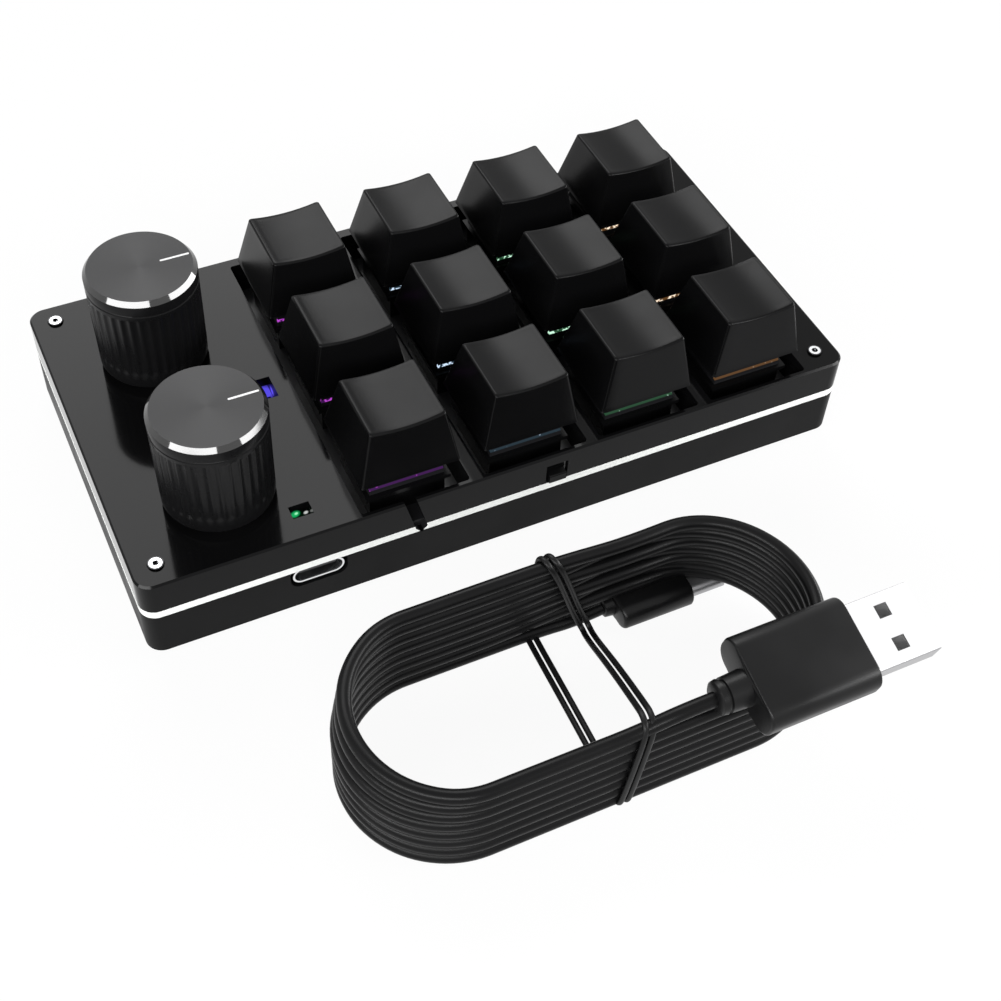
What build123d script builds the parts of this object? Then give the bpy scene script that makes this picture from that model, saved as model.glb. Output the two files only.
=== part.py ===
from build123d import *
import os
from math import pi, radians, tan

# Macro keypad: a sandwich case of lower shell, circuit board and upper frame, with twelve
# sprung keys in four wells, two push-and-turn knobs, a side button and a detached cable.
# Millimetres. X runs along the key rows, Y from the cable side to the back, Z up.
# The origin is under the middle of the case, on the desk.

# ---- case -------------------------------------------------------------------------------
case_length = 135.2
case_width = 70.7
case_corner = 3.0
foot_height = 1.5
foot_radius = 4.0
foot_inset = 9.0
shell_height = 9.7
shell_wall = 2.0
shell_floor = 1.6
shell_edge = 0.6
board_thickness = 1.6
frame_height = 6.6
frame_edge = 0.35
plate_thickness = 2.0
bay_wall = 2.4
well_corner = 0.6
well_back_room = 2.25
over = 1.0  # how far a cutting tool stands past the face it cuts

# ---- case screws ------------------------------------------------------------------------
screw_inset = 4.4
screw_radius = 0.8
screw_length = 14.0
screw_head_radius = 1.3
screw_head_height = 0.9
screw_head_room = 0.15
screw_sink = 0.5
screw_hole_radius = 1.0
screw_socket = 0.9
screw_socket_depth = 0.5
thread_gap = 0.05
boss_radius = 3.0

# ---- keys -------------------------------------------------------------------------------
columns = 4
rows = 3
key_pitch = 22.6
key_margin = 18.65
key_shift_y = -0.8
well_room = 1.0
cap_base = 18.1
cap_top_length = 13.8
cap_top_width = 14.1
cap_height = 11.35
cap_lean = -0.76
cap_corner = 0.5
cap_edge = 0.3
cap_wall = 1.3
cap_roof = 1.5
cap_dish = 0.7
post_radius = 2.75
post_sink = 0.2
key_travel = 4.0
press_gap = 0.2

# ---- switches ---------------------------------------------------------------------------
switch_width = 14.0
flange_width = 15.6
flange_height = 0.8
base_height = 5.0
base_floor = 0.8
switch_height = 11.6
cover_top_length = 11.6
cover_top_width = 10.8
cover_wall = 0.9
slider_length = 6.6
slider_width = 5.4
slider_gap = 0.3
mouth_room_x = 0.4
mouth_room_y = 0.45
cross_length = 4.0
cross_arm = 1.25
cross_height = 3.6
cross_gap = 0.03
light_length = 3.2
light_width = 2.8
light_height = 1.7
light_offset = -4.85
light_room = 0.1
socket_length = 10.9
socket_width = 5.2
socket_height = 1.8
socket_shift = -0.6
socket_front = 2.05

# ---- knobs and encoders -----------------------------------------------------------------
knob_inset = 18.6
knob_front_inset = 14.85
knob_back_inset = 19.85
knob_radius = 9.8
knob_taper = 0.2
knob_height = 19.96
knob_gap = 1.2
knob_bevel_width = 0.7
knob_bevel_height = 0.9
knob_skin = 1.8
knob_cap = 1.5
knob_foot_edge = 0.25
knob_foot_band = 2.7
knob_head_band = 3.9
groove_rise = 0.7
groove_depth = 0.16
groove_width = 0.4
flute_count = 36
flute_depth = 0.26
flute_width = 1.05
core_gap = 0.05
recess_room = 1.2
core_setback = 0.6
hub_gap = 0.02
hub_room = 0.3
knob_push = 0.5
encoder_length = 12.0
encoder_width = 13.0
encoder_height = 4.4
encoder_corner = 0.8
encoder_roof = 0.3
bushing_radius = 3.45
bushing_height = 7.0
bushing_hole_gap = 0.15
shaft_radius = 3.0
shaft_gap = 0.05
shaft_reach = 20.0
shaft_flat = 1.5
shaft_flat_length = 10.0
shaft_edge = 0.4
collar_radius = 3.3
collar_gap = 0.1
collar_height = 1.6
push_slack = 0.1
plunger_radius = 3.1
plunger_height = 1.0
washer_radius = 5.5
washer_height = 0.5
washer_gap = 0.1
nut_flats = 10.0
nut_height = 2.0
nut_gap = 0.04

# ---- status lights, side button, slot, cable socket -----------------------------------------
square_light_left = 15.8
square_light_y = -0.3
square_light_side = 5.0
small_light_left = 18.9
small_light_inset = 5.9
small_light_length = 3.4
small_light_width = 2.5
window_gap = 0.12
status_light_height = 1.6
lens_share = 0.42
lens_height = 0.25
button_shift = 3.85
button_length = 3.9
button_depth = 3.3
button_height = 2.5
button_notch_height = 4.3
button_room = 0.15
button_setback = 0.1
button_to_switch = 0.6
nub_length = 3.3
nub_height = 1.9
nub_low = 0.2
nub_proud = 0.6
nub_seat = 1.2
nub_gap = 0.05
nub_round = 0.3
button_travel = 0.25
slot_left = 1.35
slot_width = 2.2
slot_lean = 15.0
slot_point = 0.35
slot_shoulder = 0.8
slot_depth = 1.3
port_left = 18.35
port_length = 9.3
port_height = 3.5
port_depth = 7.35
port_wall = 0.35
port_round = 0.02
port_setback = 0.3
port_cut_length = 10.3
port_cut_height = 4.1
port_cut_radius = 1.9
tongue_length = 6.7
tongue_height = 0.7
tongue_setback = 0.9
tongue_reach = 4.4

# chips under the board: distance right of the cable socket, y, length, width, height
chips = (
    (-9.8, 1.5, 7.0, 7.0, 0.9),
    (-18.3, 1.5, 3.2, 2.5, 0.8),
    (7.2, -12.5, 3.0, 1.7, 1.1),
    (0.0, -22.0, 3.0, 3.0, 0.9),
    (-8.8, -9.0, 2.0, 1.3, 0.8),
)

# ---- cable ------------------------------------------------------------------------------
cord = 2.5
coil_x = -6.6
coil_y = -73.3
coil_straight = 47.6
coil_radius = 17.0
coil_layers = 8
coil_pocket_front = 7.0
coil_pocket_back = 12.0
coil_pocket_end = 1.6
plug_room = 0.15
plug_edge = 0.4
c_grip_x = 8.2
c_grip_y = -57.2
c_grip_length = 13.8
c_grip_width = 10.4
c_grip_height = 5.0
c_grip_round = 2.2
c_shell_length = 6.6
c_shell_width = 8.25
c_shell_height = 2.4
c_shell_wall = 0.3
c_shell_round = 1.18
c_shell_seat = 3.0
c_shell_floor = 0.6
c_neck_radius = 1.9
c_neck_length = 2.0
neck_sink = 0.5
a_axis_y = -91.2
a_axis_z = 21.6
a_roll = 15.0
a_grip_x = 11.5
a_grip_length = 20.0
a_grip_width = 16.0
a_grip_height = 7.2
a_grip_round = 2.9
a_grip_shoulder = 1.2
a_shell_length = 12.0
a_shell_width = 12.0
a_shell_height = 4.5
a_shell_wall = 0.3
a_shell_round = 0.5
a_plug_seat = 6.0
a_insert_height = 1.9
a_insert_round = 0.3
a_insert_gap = 0.05
a_insert_setback = 0.4
a_window = 2.3
a_window_share = 0.24
a_neck_radius = 2.9
a_neck_length = 5.5
a_neck_sink = 2.0
a_neck_groove = 0.35
a_neck_groove_width = 0.6
a_neck_groove_start = 1.1
tail_start = -16.0
tail_bend = 0.45
tail_points = (
    (-16.0, -90.3, 18.75),
    (-6.5, -90.3, 18.75),
    (0.0, -91.2, 21.6),
    (6.0, -91.2, 21.6),
)
tie_x = -7.0
tie_width = 3.0
tie_thickness = 0.9
tie_gap = 0.15
tie_low = 3.0
tie_bump = 1.4

# ---- levels and places worked out from the sizes above ------------------------------------
board_bottom = foot_height + shell_height
board_top = board_bottom + board_thickness
frame_top = board_top + frame_height
plate_bottom = frame_top - plate_thickness
well_length = cap_base + 2 * well_room
last_column = case_length / 2 - key_margin
column_x = [last_column - (columns - 1 - i) * key_pitch for i in range(columns)]
row_y = [key_shift_y + (rows - 1) * key_pitch / 2 - j * key_pitch for j in range(rows)]
key_places = [(x, y) for y in row_y for x in column_x]
well_front = row_y[-1] - switch_width / 2 - button_depth - button_to_switch - button_setback
well_back = row_y[0] + cap_base / 2 + well_back_room
knob_x = -case_length / 2 + knob_inset
knob_places = [
    (knob_x, case_width / 2 - knob_back_inset),
    (knob_x, -case_width / 2 + knob_front_inset),
]
screw_x = case_length / 2 - screw_inset
screw_y = case_width / 2 - screw_inset
screw_places = [(sx * screw_x, sy * screw_y) for sx in (-1, 1) for sy in (-1, 1)]
foot_places = [
    (sx * (case_length / 2 - foot_inset), sy * (case_width / 2 - foot_inset))
    for sx in (-1, 1)
    for sy in (-1, 1)
]
slider_bottom = base_floor + key_travel + press_gap
cap_rise = base_height + flange_height + key_travel + press_gap
case_front = -case_width / 2
first_column, second_column = column_x[:2]
button_x = second_column + button_shift
slot_x = first_column - slot_left
port_x = first_column - port_left
square_light_x = first_column - square_light_left
small_light_x = first_column - small_light_left
small_light_y = case_front + small_light_inset
light_places = (
    (square_light_x, square_light_y, square_light_side, square_light_side),
    (small_light_x, small_light_y, small_light_length, small_light_width),
)
button_front = well_front + button_setback
port_front = case_front + port_setback
port_middle = board_bottom - port_height / 2
port_corner = port_height / 2 - port_round
c_middle = c_grip_height / 2 + plug_room
c_seat = c_grip_x + c_grip_length
a_seat = a_grip_x + a_grip_length
collar_bottom = board_top + base_floor + plunger_height + knob_push + push_slack
bushing_seat = board_top + encoder_height
bushing_top = bushing_seat + bushing_height
nut_bottom = frame_top + washer_height
knob_bottom = frame_top + knob_gap
knob_top = knob_bottom + knob_height
core_radius = knob_radius - knob_skin - core_gap
recess_radius = washer_radius + recess_room
flute_pitch = 2 * pi * knob_radius / flute_count
hub_bottom = bushing_top + knob_push + hub_room
coil_height = coil_layers * cord
coil_top_low = coil_height - cord


def at(x, y, z, shape):
    """Shape moved to a place."""
    return Pos(x, y, z) * shape


def block(x0, x1, y0, y1, z0, z1):
    """Box between two corners."""
    centre = ((x0 + x1) / 2, (y0 + y1) / 2, (z0 + z1) / 2)
    return Pos(*centre) * Box(x1 - x0, y1 - y0, z1 - z0)


def rod(x, y, z0, z1, radius):
    """Upright cylinder between two levels."""
    return Pos(x, y, (z0 + z1) / 2) * Cylinder(radius, z1 - z0)


def slab(length, width, corner, z0, z1):
    """Rounded plate between two levels, centred on the origin."""
    return extrude(Pos(0, 0, z0) * RectangleRounded(length, width, corner), z1 - z0)


def taper(foot, head, z0, z1, shift=0.0):
    """Loft between two rectangles, given as length, width and perhaps a corner radius."""
    shape = RectangleRounded if len(foot) == 3 else Rectangle
    return loft([Pos(0, 0, z0) * shape(*foot), Pos(0, shift, z1) * shape(*head)])


# ---- case -------------------------------------------------------------------------------
def front_slot():
    """Slanted pry slot that ends in a point just below the board."""
    lean = tan(radians(slot_lean))
    high = frame_top + over
    low = board_bottom + slot_shoulder
    shift_high = -(high - frame_top) * lean
    shift_low = (frame_top - low) * lean
    half = slot_width / 2
    outline = Polyline(
        (slot_x - half + shift_high, high),
        (slot_x + half + shift_high, high),
        (slot_x + half + shift_low, low),
        (slot_x + shift_low, board_bottom - slot_point),
        (slot_x - half + shift_low, low),
        close=True,
    )
    face = make_face(Plane.XZ * outline)
    return Pos(0, case_front - over, 0) * extrude(face, slot_depth + over, dir=(0, 1, 0))


def lower_shell():
    """Tray with four screw bosses and a rounded cutout for the cable socket."""
    body = slab(case_length, case_width, case_corner, foot_height, board_bottom)
    body = chamfer(body.edges().group_by(Axis.Z)[0], shell_edge)
    inner = (case_length - 2 * shell_wall, case_width - 2 * shell_wall, case_corner - shell_wall)
    floor = foot_height + shell_floor
    body -= slab(*inner, floor, board_bottom)
    for x, y in screw_places:
        body += rod(x, y, floor, board_bottom, boss_radius) & slab(
            case_length - shell_wall, case_width - shell_wall, case_corner, floor, board_bottom
        )
    drill = screw_radius + thread_gap
    tip = frame_top - screw_sink - screw_length
    for x, y in screw_places:
        body -= rod(x, y, tip, board_bottom, drill)
    mouth = RectangleRounded(port_cut_length, 2 * port_cut_height, port_cut_radius)
    face = Plane.XZ.offset(over - case_front) * Pos(port_x, board_bottom) * mouth
    body -= extrude(face, shell_wall + 2 * over, dir=(0, 1, 0))
    return body - front_slot()


def circuit_board():
    """Full-size board, drilled for the case screws."""
    body = slab(case_length, case_width, case_corner, board_bottom, board_top)
    tools = [rod(x, y, board_bottom, board_top, screw_hole_radius) for x, y in screw_places]
    return body - tools - front_slot()


def top_frame():
    """Upper frame: four wells, a bay under the knob plate, windows, notch and slot."""
    body = slab(case_length, case_width, case_corner, board_top, frame_top)
    body = chamfer(body.edges().group_by(Axis.Z)[-1], frame_edge)
    middle = (well_front + well_back) / 2
    for x in column_x:
        well = RectangleRounded(well_length, well_back - well_front, well_corner)
        body -= extrude(at(x, middle, board_top, well), frame_height)
    bay_left = -case_length / 2 + bay_wall
    bay_right = first_column - well_length / 2 - bay_wall
    bay_back = screw_y - boss_radius
    body -= block(bay_left, bay_right, -bay_back, bay_back, board_top, plate_bottom)
    for x, y in knob_places:
        body -= rod(x, y, board_top, frame_top, bushing_radius + bushing_hole_gap)
    for x, y, length, width in light_places:
        half_l = length / 2 + window_gap
        half_w = width / 2 + window_gap
        body -= block(x - half_l, x + half_l, y - half_w, y + half_w, board_top, frame_top)
    for x, y in screw_places:
        body -= rod(x, y, board_top, frame_top, screw_hole_radius)
        body -= rod(x, y, frame_top - screw_sink, frame_top, screw_head_radius + screw_head_room)
    half = button_length / 2 + button_room
    left, right = button_x - half, button_x + half
    notch_top = board_top + button_notch_height
    body -= block(left, right, case_front - over, well_front + over, board_top, notch_top)
    return body - front_slot()


def case_screws():
    """Four screws with low socket heads, seated in shallow counterbores."""
    group = []
    seat = frame_top - screw_sink
    top = seat + screw_head_height
    half = screw_socket / 2
    for x, y in screw_places:
        head = rod(x, y, seat, top, screw_head_radius)
        head -= block(x - half, x + half, y - half, y + half, top - screw_socket_depth, top)
        group.append(head + rod(x, y, seat - screw_length, seat, screw_radius))
    return group


def feet():
    """Four round rubber feet."""
    return [rod(x, y, 0, foot_height, foot_radius) for x, y in foot_places]


# ---- keys -------------------------------------------------------------------------------
def cross(length, arm, z0, z1):
    """Upright cross-shaped bar."""
    half, thin = length / 2, arm / 2
    return block(-half, half, -thin, thin, z0, z1) + block(-thin, thin, -half, half, z0, z1)


def keycap():
    """Tall hollow cap: tapered shell, cylindrical dish, post with a cross socket."""
    shell = taper((cap_base, cap_base), (cap_top_length, cap_top_width), 0, cap_height, cap_lean)
    corners = shell.edges().filter_by(lambda e: 0 < e.center().Z < cap_height)
    shell = chamfer(corners, cap_corner)
    half = cap_top_length / 2
    dish_radius = (half**2 + cap_dish**2) / (2 * cap_dish)
    tool = Rot(90, 0, 0) * Cylinder(dish_radius, 3 * cap_base)
    shell -= Pos(0, 0, cap_height - cap_dish + dish_radius) * tool
    rim = shell.edges().filter_by(lambda e: e.center().Z > cap_height - 1.5 * cap_dish)
    shell = chamfer(rim, cap_edge)
    inner_height = cap_height - cap_dish - cap_roof
    share = inner_height / cap_height
    length = cap_base + (cap_top_length - cap_base) * share - 2 * cap_wall
    width = cap_base + (cap_top_width - cap_base) * share - 2 * cap_wall
    foot = cap_base - 2 * cap_wall
    shell -= taper((foot, foot), (length, width), 0, inner_height, cap_lean * share)
    low = switch_height - cap_rise
    shell += rod(0, 0, low, inner_height + post_sink, post_radius)
    length, arm = cross_length + 2 * cross_gap, cross_arm + 2 * cross_gap
    return shell - cross(length, arm, low, low + cross_height + post_sink)


def switch_stem():
    """Slider with the cap's cross above."""
    half_l, half_w = slider_length / 2, slider_width / 2
    body = block(-half_l, half_l, -half_w, half_w, slider_bottom, switch_height)
    return body + cross(cross_length, cross_arm, switch_height, switch_height + cross_height)


def switch_base():
    """Lower housing: flange, slider pocket, and a shaft for the key's light."""
    half = switch_width / 2
    lip = flange_width / 2
    top = base_height + flange_height
    body = block(-half, half, -half, half, 0, base_height)
    body += block(-lip, lip, -lip, lip, base_height, top)
    half_l = slider_length / 2 + slider_gap
    half_w = slider_width / 2 + slider_gap
    body -= block(-half_l, half_l, -half_w, half_w, base_floor, top)
    half_l = light_length / 2 + light_room
    half_w = light_width / 2 + light_room
    return body - block(-half_l, half_l, light_offset - half_w, light_offset + half_w, 0, top)


def switch_cover():
    """Clear upper housing with a rectangular mouth for the slider and the cap's post."""
    low = base_height + flange_height
    crown = (cover_top_length, cover_top_width)
    body = taper((switch_width, switch_width), crown, low, switch_height)
    foot = switch_width - 2 * cover_wall
    roof = switch_height - cover_wall
    head = (cover_top_length - 2 * cover_wall, cover_top_width - 2 * cover_wall)
    body -= taper((foot, foot), head, low, roof)
    half_l = slider_length / 2 + mouth_room_x
    half_w = post_radius + mouth_room_y
    return body - block(-half_l, half_l, -half_w, half_w, low, switch_height + over)


def key_lights():
    """One light under the front of each switch."""
    size = (light_length, light_width, light_height)
    group = []
    for x, y in key_places:
        group.append(at(x, y + light_offset, board_top + light_height / 2, Box(*size)))
    return group


def switch_sockets():
    """Socket blocks under the board, one for each switch."""
    group = []
    for x, y in key_places:
        low = board_bottom - socket_height
        left = x + socket_shift - socket_length / 2
        front = y + socket_front
        right, back = left + socket_length, front + socket_width
        group.append(block(left, right, front, back, low, board_bottom))
    return group


# ---- knobs ------------------------------------------------------------------------------
def encoder_body():
    """Encoder case with its bushing, bored for the shaft."""
    half_l, half_w = encoder_length / 2, encoder_width / 2
    body = block(-half_l, half_l, -half_w, half_w, board_top, bushing_seat)
    body = chamfer(body.edges().filter_by(Axis.Z), encoder_corner)
    body += rod(0, 0, bushing_seat, bushing_top, bushing_radius)
    roof = bushing_seat - encoder_roof
    body -= rod(0, 0, board_top + base_floor, roof, collar_radius + collar_gap)
    return body - rod(0, 0, roof, bushing_top, shaft_radius + shaft_gap)


def encoder_plunger():
    """Disc that the shaft presses on, over the push contact."""
    return rod(0, 0, collar_bottom - plunger_height, collar_bottom, plunger_radius)


def encoder_shaft():
    """Collared shaft with a flat for the knob."""
    tip = bushing_seat + shaft_reach
    body = rod(0, 0, collar_bottom, collar_bottom + collar_height, collar_radius)
    body += rod(0, 0, collar_bottom, tip, shaft_radius)
    wide = 2 * shaft_radius
    body -= block(shaft_flat, wide, -wide, wide, tip - shaft_flat_length, tip + over)
    return chamfer(body.edges().group_by(Axis.Z)[-1], shaft_edge)


def washer():
    """Flat washer under the nut."""
    ring = rod(0, 0, frame_top, nut_bottom, washer_radius)
    return ring - rod(0, 0, frame_top, nut_bottom, bushing_radius + washer_gap)


def nut():
    """Thin hexagon nut on the bushing."""
    hexagon = RegularPolygon(nut_flats / 2, 6, major_radius=False)
    body = extrude(Pos(0, 0, nut_bottom) * hexagon, nut_height)
    return body - rod(0, 0, nut_bottom, nut_bottom + nut_height, bushing_radius + nut_gap)


def flute_outline(radius, z):
    """Fluted outline at a level: a flat land and a V-shaped flute, all the way round."""
    land = (1 - flute_width / flute_pitch) * 180 / flute_count
    corners = []
    for i in range(flute_count):
        middle = 360 * i / flute_count
        corners.append(Vector(radius, 0).rotate(Axis.Z, middle - land))
        corners.append(Vector(radius, 0).rotate(Axis.Z, middle + land))
        corners.append(Vector(radius - flute_depth, 0).rotate(Axis.Z, middle + 180 / flute_count))
    return Pos(0, 0, z) * make_face(Polyline(*corners, close=True))


def knob_shell():
    """Turned aluminium cup: fluted grip between two smooth bands, bevelled crown."""
    low, high = knob_bottom, knob_top
    foot = knob_radius - knob_taper
    slope = knob_taper / knob_height
    inside = knob_radius - knob_skin
    start = low + knob_foot_band
    end = high - knob_head_band
    start_r = foot + slope * (start - low)
    end_r = foot + slope * (end - low)
    groove = end + groove_rise
    groove_r = foot + slope * (groove - low)
    foot_band = Polyline(
        (inside, low),
        (foot - knob_foot_edge, low),
        (foot, low + knob_foot_edge),
        (start_r, start),
        (inside, start),
        close=True,
    )
    crown = Polyline(
        (inside, end),
        (end_r, end),
        (groove_r, groove),
        (groove_r - groove_depth, groove + groove_width / 2),
        (groove_r, groove + groove_width),
        (knob_radius, high - knob_bevel_height),
        (knob_radius - knob_bevel_width, high),
        (0, high),
        (0, high - knob_cap),
        (inside, high - knob_cap),
        close=True,
    )
    body = revolve(make_face(Plane.XZ * foot_band), Axis.Z)
    body += revolve(make_face(Plane.XZ * crown), Axis.Z)
    grip = loft([flute_outline(start_r, start), flute_outline(end_r, end)], ruled=True)
    return body + (grip - rod(0, 0, start, end, inside))


def knob_core():
    """Plastic core: hub with the shaft's bore, and a skirt round the nut."""
    top = knob_top - knob_cap - core_gap
    body = rod(0, 0, hub_bottom, top, core_radius)
    skirt = rod(0, 0, knob_bottom + core_setback, hub_bottom, core_radius)
    body += skirt - rod(0, 0, knob_bottom, hub_bottom, recess_radius)
    tip = bushing_seat + shaft_reach
    bore = rod(0, 0, hub_bottom, tip + hub_room, shaft_radius + hub_gap)
    wide = 2 * shaft_radius
    flat_low = tip - shaft_flat_length + hub_room
    bore -= block(shaft_flat + hub_gap, wide, -wide, wide, flat_low, knob_top)
    return body - bore


# ---- small parts on the board --------------------------------------------------------------
def status_lights():
    """Two lights under the windows of the knob plate, each with a domed lens."""
    group = []
    for x, y, length, width in light_places:
        half_l, half_w = length / 2, width / 2
        top = board_top + status_light_height
        body = block(x - half_l, x + half_l, y - half_w, y + half_w, board_top, top)
        group.append(body + rod(x, y, top, top + lens_height, lens_share * width))
    return group


def button_body():
    """Side switch case, open at the front for its nub."""
    left, right = button_x - button_length / 2, button_x + button_length / 2
    back = button_front + button_depth
    body = block(left, right, button_front, back, board_top, board_top + button_height)
    half = nub_length / 2 + nub_gap
    room = button_front + nub_seat + button_travel + nub_gap
    low = board_top + nub_low - nub_gap
    high = board_top + nub_low + nub_height + nub_gap
    return body - block(button_x - half, button_x + half, button_front - over, room, low, high)


def button_nub():
    """Nub of the side switch, standing a little out of the front wall."""
    left, right = button_x - nub_length / 2, button_x + nub_length / 2
    low = board_top + nub_low
    front, back = case_front - nub_proud, button_front + nub_seat
    nub = block(left, right, front, back, low, low + nub_height)
    return fillet(nub.edges().filter_by(Axis.X).group_by(Axis.Y)[0], nub_round)


def port_shell():
    """Drawn metal shell of the cable socket, hung under the board."""
    length, height = port_length - 2 * port_wall, port_height - 2 * port_wall
    ring = RectangleRounded(port_length, port_height, port_corner)
    ring -= RectangleRounded(length, height, port_corner - port_wall)
    face = Plane.XZ.offset(-port_front) * Pos(port_x, port_middle) * ring
    return extrude(face, port_depth, dir=(0, 1, 0))


def port_tongue():
    """Moulded insert of the cable socket: rear block and contact tongue."""
    length, height = port_length - 2 * port_wall, port_height - 2 * port_wall
    profile = RectangleRounded(length, height, port_corner - port_wall)
    start = port_front + tongue_setback
    rear = start + tongue_reach
    back = port_front + port_depth
    face = Plane.XZ.offset(-rear) * Pos(port_x, port_middle) * profile
    body = extrude(face, back - rear, dir=(0, 1, 0))
    half_l, half_h = tongue_length / 2, tongue_height / 2
    low, high = port_middle - half_h, port_middle + half_h
    return body + block(port_x - half_l, port_x + half_l, start, back, low, high)


def board_chips():
    """Processor, crystal, regulator and two filter blocks under the board."""
    group = []
    for shift, y, length, width, height in chips:
        x = port_x + shift
        half_l, half_w = length / 2, width / 2
        low = board_bottom - height
        group.append(block(x - half_l, x + half_l, y - half_w, y + half_w, low, board_bottom))
    return group


# ---- cable ------------------------------------------------------------------------------
def stadium(radius, z0, z1):
    """Upright stadium-shaped prism round the coil's two centres."""
    shape = SlotCenterToCenter(coil_straight, 2 * radius)
    return extrude(at(coil_x, coil_y, z0, shape), z1 - z0)


def cable_coil():
    """Outer shape of the wound turns, one strand wide, with room for plug and tie."""
    half = cord / 2
    body = stadium(coil_radius + half, 0, coil_height)
    body -= stadium(coil_radius - half, 0, coil_height)
    reach = coil_straight + coil_radius
    back, front = coil_y + reach, coil_y - reach
    body -= block(tail_start, reach, front, coil_y, coil_top_low, coil_height + over)
    right = c_seat + c_shell_length + coil_pocket_end
    left = c_grip_x - c_neck_length
    pocket = c_grip_height + 2 * plug_room
    near, far = c_grip_y - coil_pocket_front, c_grip_y + coil_pocket_back
    body -= block(left, right, near, far, -over, pocket)
    low = tie_thickness + tie_gap
    half_tie = tie_width / 2 + tie_gap
    return body - block(tie_x - half_tie, tie_x + half_tie, front, back, -over, low)


def corner_radii(points):
    """Radius at each inner corner: a share of the shorter run over tan of half the turn."""
    knots = [Vector(*p) for p in points]
    runs = [b - a for a, b in zip(knots, knots[1:])]
    radii = []
    for before, after in zip(runs, runs[1:]):
        turn = radians(before.get_angle(after))
        radii.append(tail_bend * min(before.length, after.length) / tan(turn / 2))
    return radii


def cable_tail():
    """Stretch of cable from the coil's top turn to the long plug."""
    radii = corner_radii(tail_points)
    print("tail radii", [round(r, 1) for r in radii])
    path = FilletPolyline(*tail_points, radius=radii)
    start = path ^ 0
    body = sweep(Plane(start.position, z_dir=path % 0) * Circle(cord / 2), path=path)
    ideal = pi * cord**2 / 4 * path.length
    print("tail volume over section times length", round(body.volume / ideal, 4))
    return body


def on_small_plug(x, sketch):
    """Sketch set upright on the small plug's axis."""
    return Plane.YZ.offset(x) * Pos(c_grip_y, c_middle) * sketch


def c_plug_grip():
    """Small plug's moulded grip and its short neck, lying flat on the desk."""
    profile = RectangleRounded(c_grip_width, c_grip_height, c_grip_round)
    body = extrude(on_small_plug(c_grip_x, profile), c_grip_length)
    body = chamfer(body.edges().group_by(Axis.X)[-1], plug_edge)
    neck = on_small_plug(c_grip_x - c_neck_length, Circle(c_neck_radius))
    body += extrude(neck, c_neck_length + neck_sink)
    hole = RectangleRounded(c_shell_width, c_shell_height, c_shell_round)
    return body - extrude(on_small_plug(c_seat - c_shell_seat, hole), c_shell_seat + over)


def c_plug_shell():
    """Small plug's drawn shell, hollow to its seat in the grip."""
    outer = RectangleRounded(c_shell_width, c_shell_height, c_shell_round)
    width, height = c_shell_width - 2 * c_shell_wall, c_shell_height - 2 * c_shell_wall
    inner = RectangleRounded(width, height, c_shell_round - c_shell_wall)
    body = extrude(on_small_plug(c_seat - c_shell_seat, outer), c_shell_seat + c_shell_length)
    depth = c_shell_length - c_shell_floor
    return body - extrude(on_small_plug(c_seat + c_shell_floor, inner), depth)


def on_long_plug(shape):
    """Shape drawn along +X from the long plug's axis, rolled and set on the coil."""
    return Pos(0, a_axis_y, a_axis_z) * Rot(a_roll, 0, 0) * shape


def a_plug_grip():
    """Long plug's moulded grip with its grooved round neck."""
    profile = RectangleRounded(a_grip_width, a_grip_height, a_grip_round)
    body = extrude(Plane.YZ.offset(a_grip_x) * profile, a_grip_length)
    body = chamfer(body.edges().group_by(Axis.X)[0], a_grip_shoulder)
    body = chamfer(body.edges().group_by(Axis.X)[-1], plug_edge)
    start = a_grip_x - a_neck_length
    neck = extrude(Plane.YZ.offset(start) * Circle(a_neck_radius), a_neck_length + a_neck_sink)
    neck = chamfer(neck.edges().group_by(Axis.X)[0], plug_edge)
    ring = Circle(a_neck_radius + over) - Circle(a_neck_radius - a_neck_groove)
    neck -= extrude(Plane.YZ.offset(start + a_neck_groove_start) * ring, a_neck_groove_width)
    body += neck
    hole = Plane.YZ.offset(a_seat - a_plug_seat) * RectangleRounded(
        a_shell_width, a_shell_height, a_shell_round
    )
    return on_long_plug(body - extrude(hole, a_plug_seat + over))


def a_plug_shell():
    """Long plug's folded shell with two square windows in its upper wall."""
    width, height = a_shell_width - 2 * a_shell_wall, a_shell_height - 2 * a_shell_wall
    ring = RectangleRounded(a_shell_width, a_shell_height, a_shell_round)
    ring -= RectangleRounded(width, height, a_shell_round - a_shell_wall)
    body = extrude(Plane.YZ.offset(a_seat - a_plug_seat) * ring, a_plug_seat + a_shell_length)
    middle = a_seat + a_shell_length / 2
    half = a_window / 2
    for side in (-1, 1):
        y = side * a_shell_width * a_window_share
        x0, x1 = middle - half, middle + half
        body -= block(x0, x1, y - half, y + half, -a_shell_height, a_shell_height)
    return on_long_plug(body)


def a_plug_insert():
    """Contact block in the lower half of the long plug's shell."""
    width = a_shell_width - 2 * (a_shell_wall + a_insert_gap)
    low = a_shell_wall + a_insert_gap - a_shell_height / 2
    start = a_seat - a_plug_seat + a_insert_gap
    end = a_seat + a_shell_length - a_insert_setback
    tongue = Pos(0, low + a_insert_height / 2) * RectangleRounded(
        width, a_insert_height, a_insert_round
    )
    body = extrude(Plane.YZ.offset(start) * tongue, end - start)
    rear = RectangleRounded(width, -2 * low, a_insert_round)
    body += extrude(Plane.YZ.offset(start) * rear, a_seat + over - start)
    return on_long_plug(body)


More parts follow.
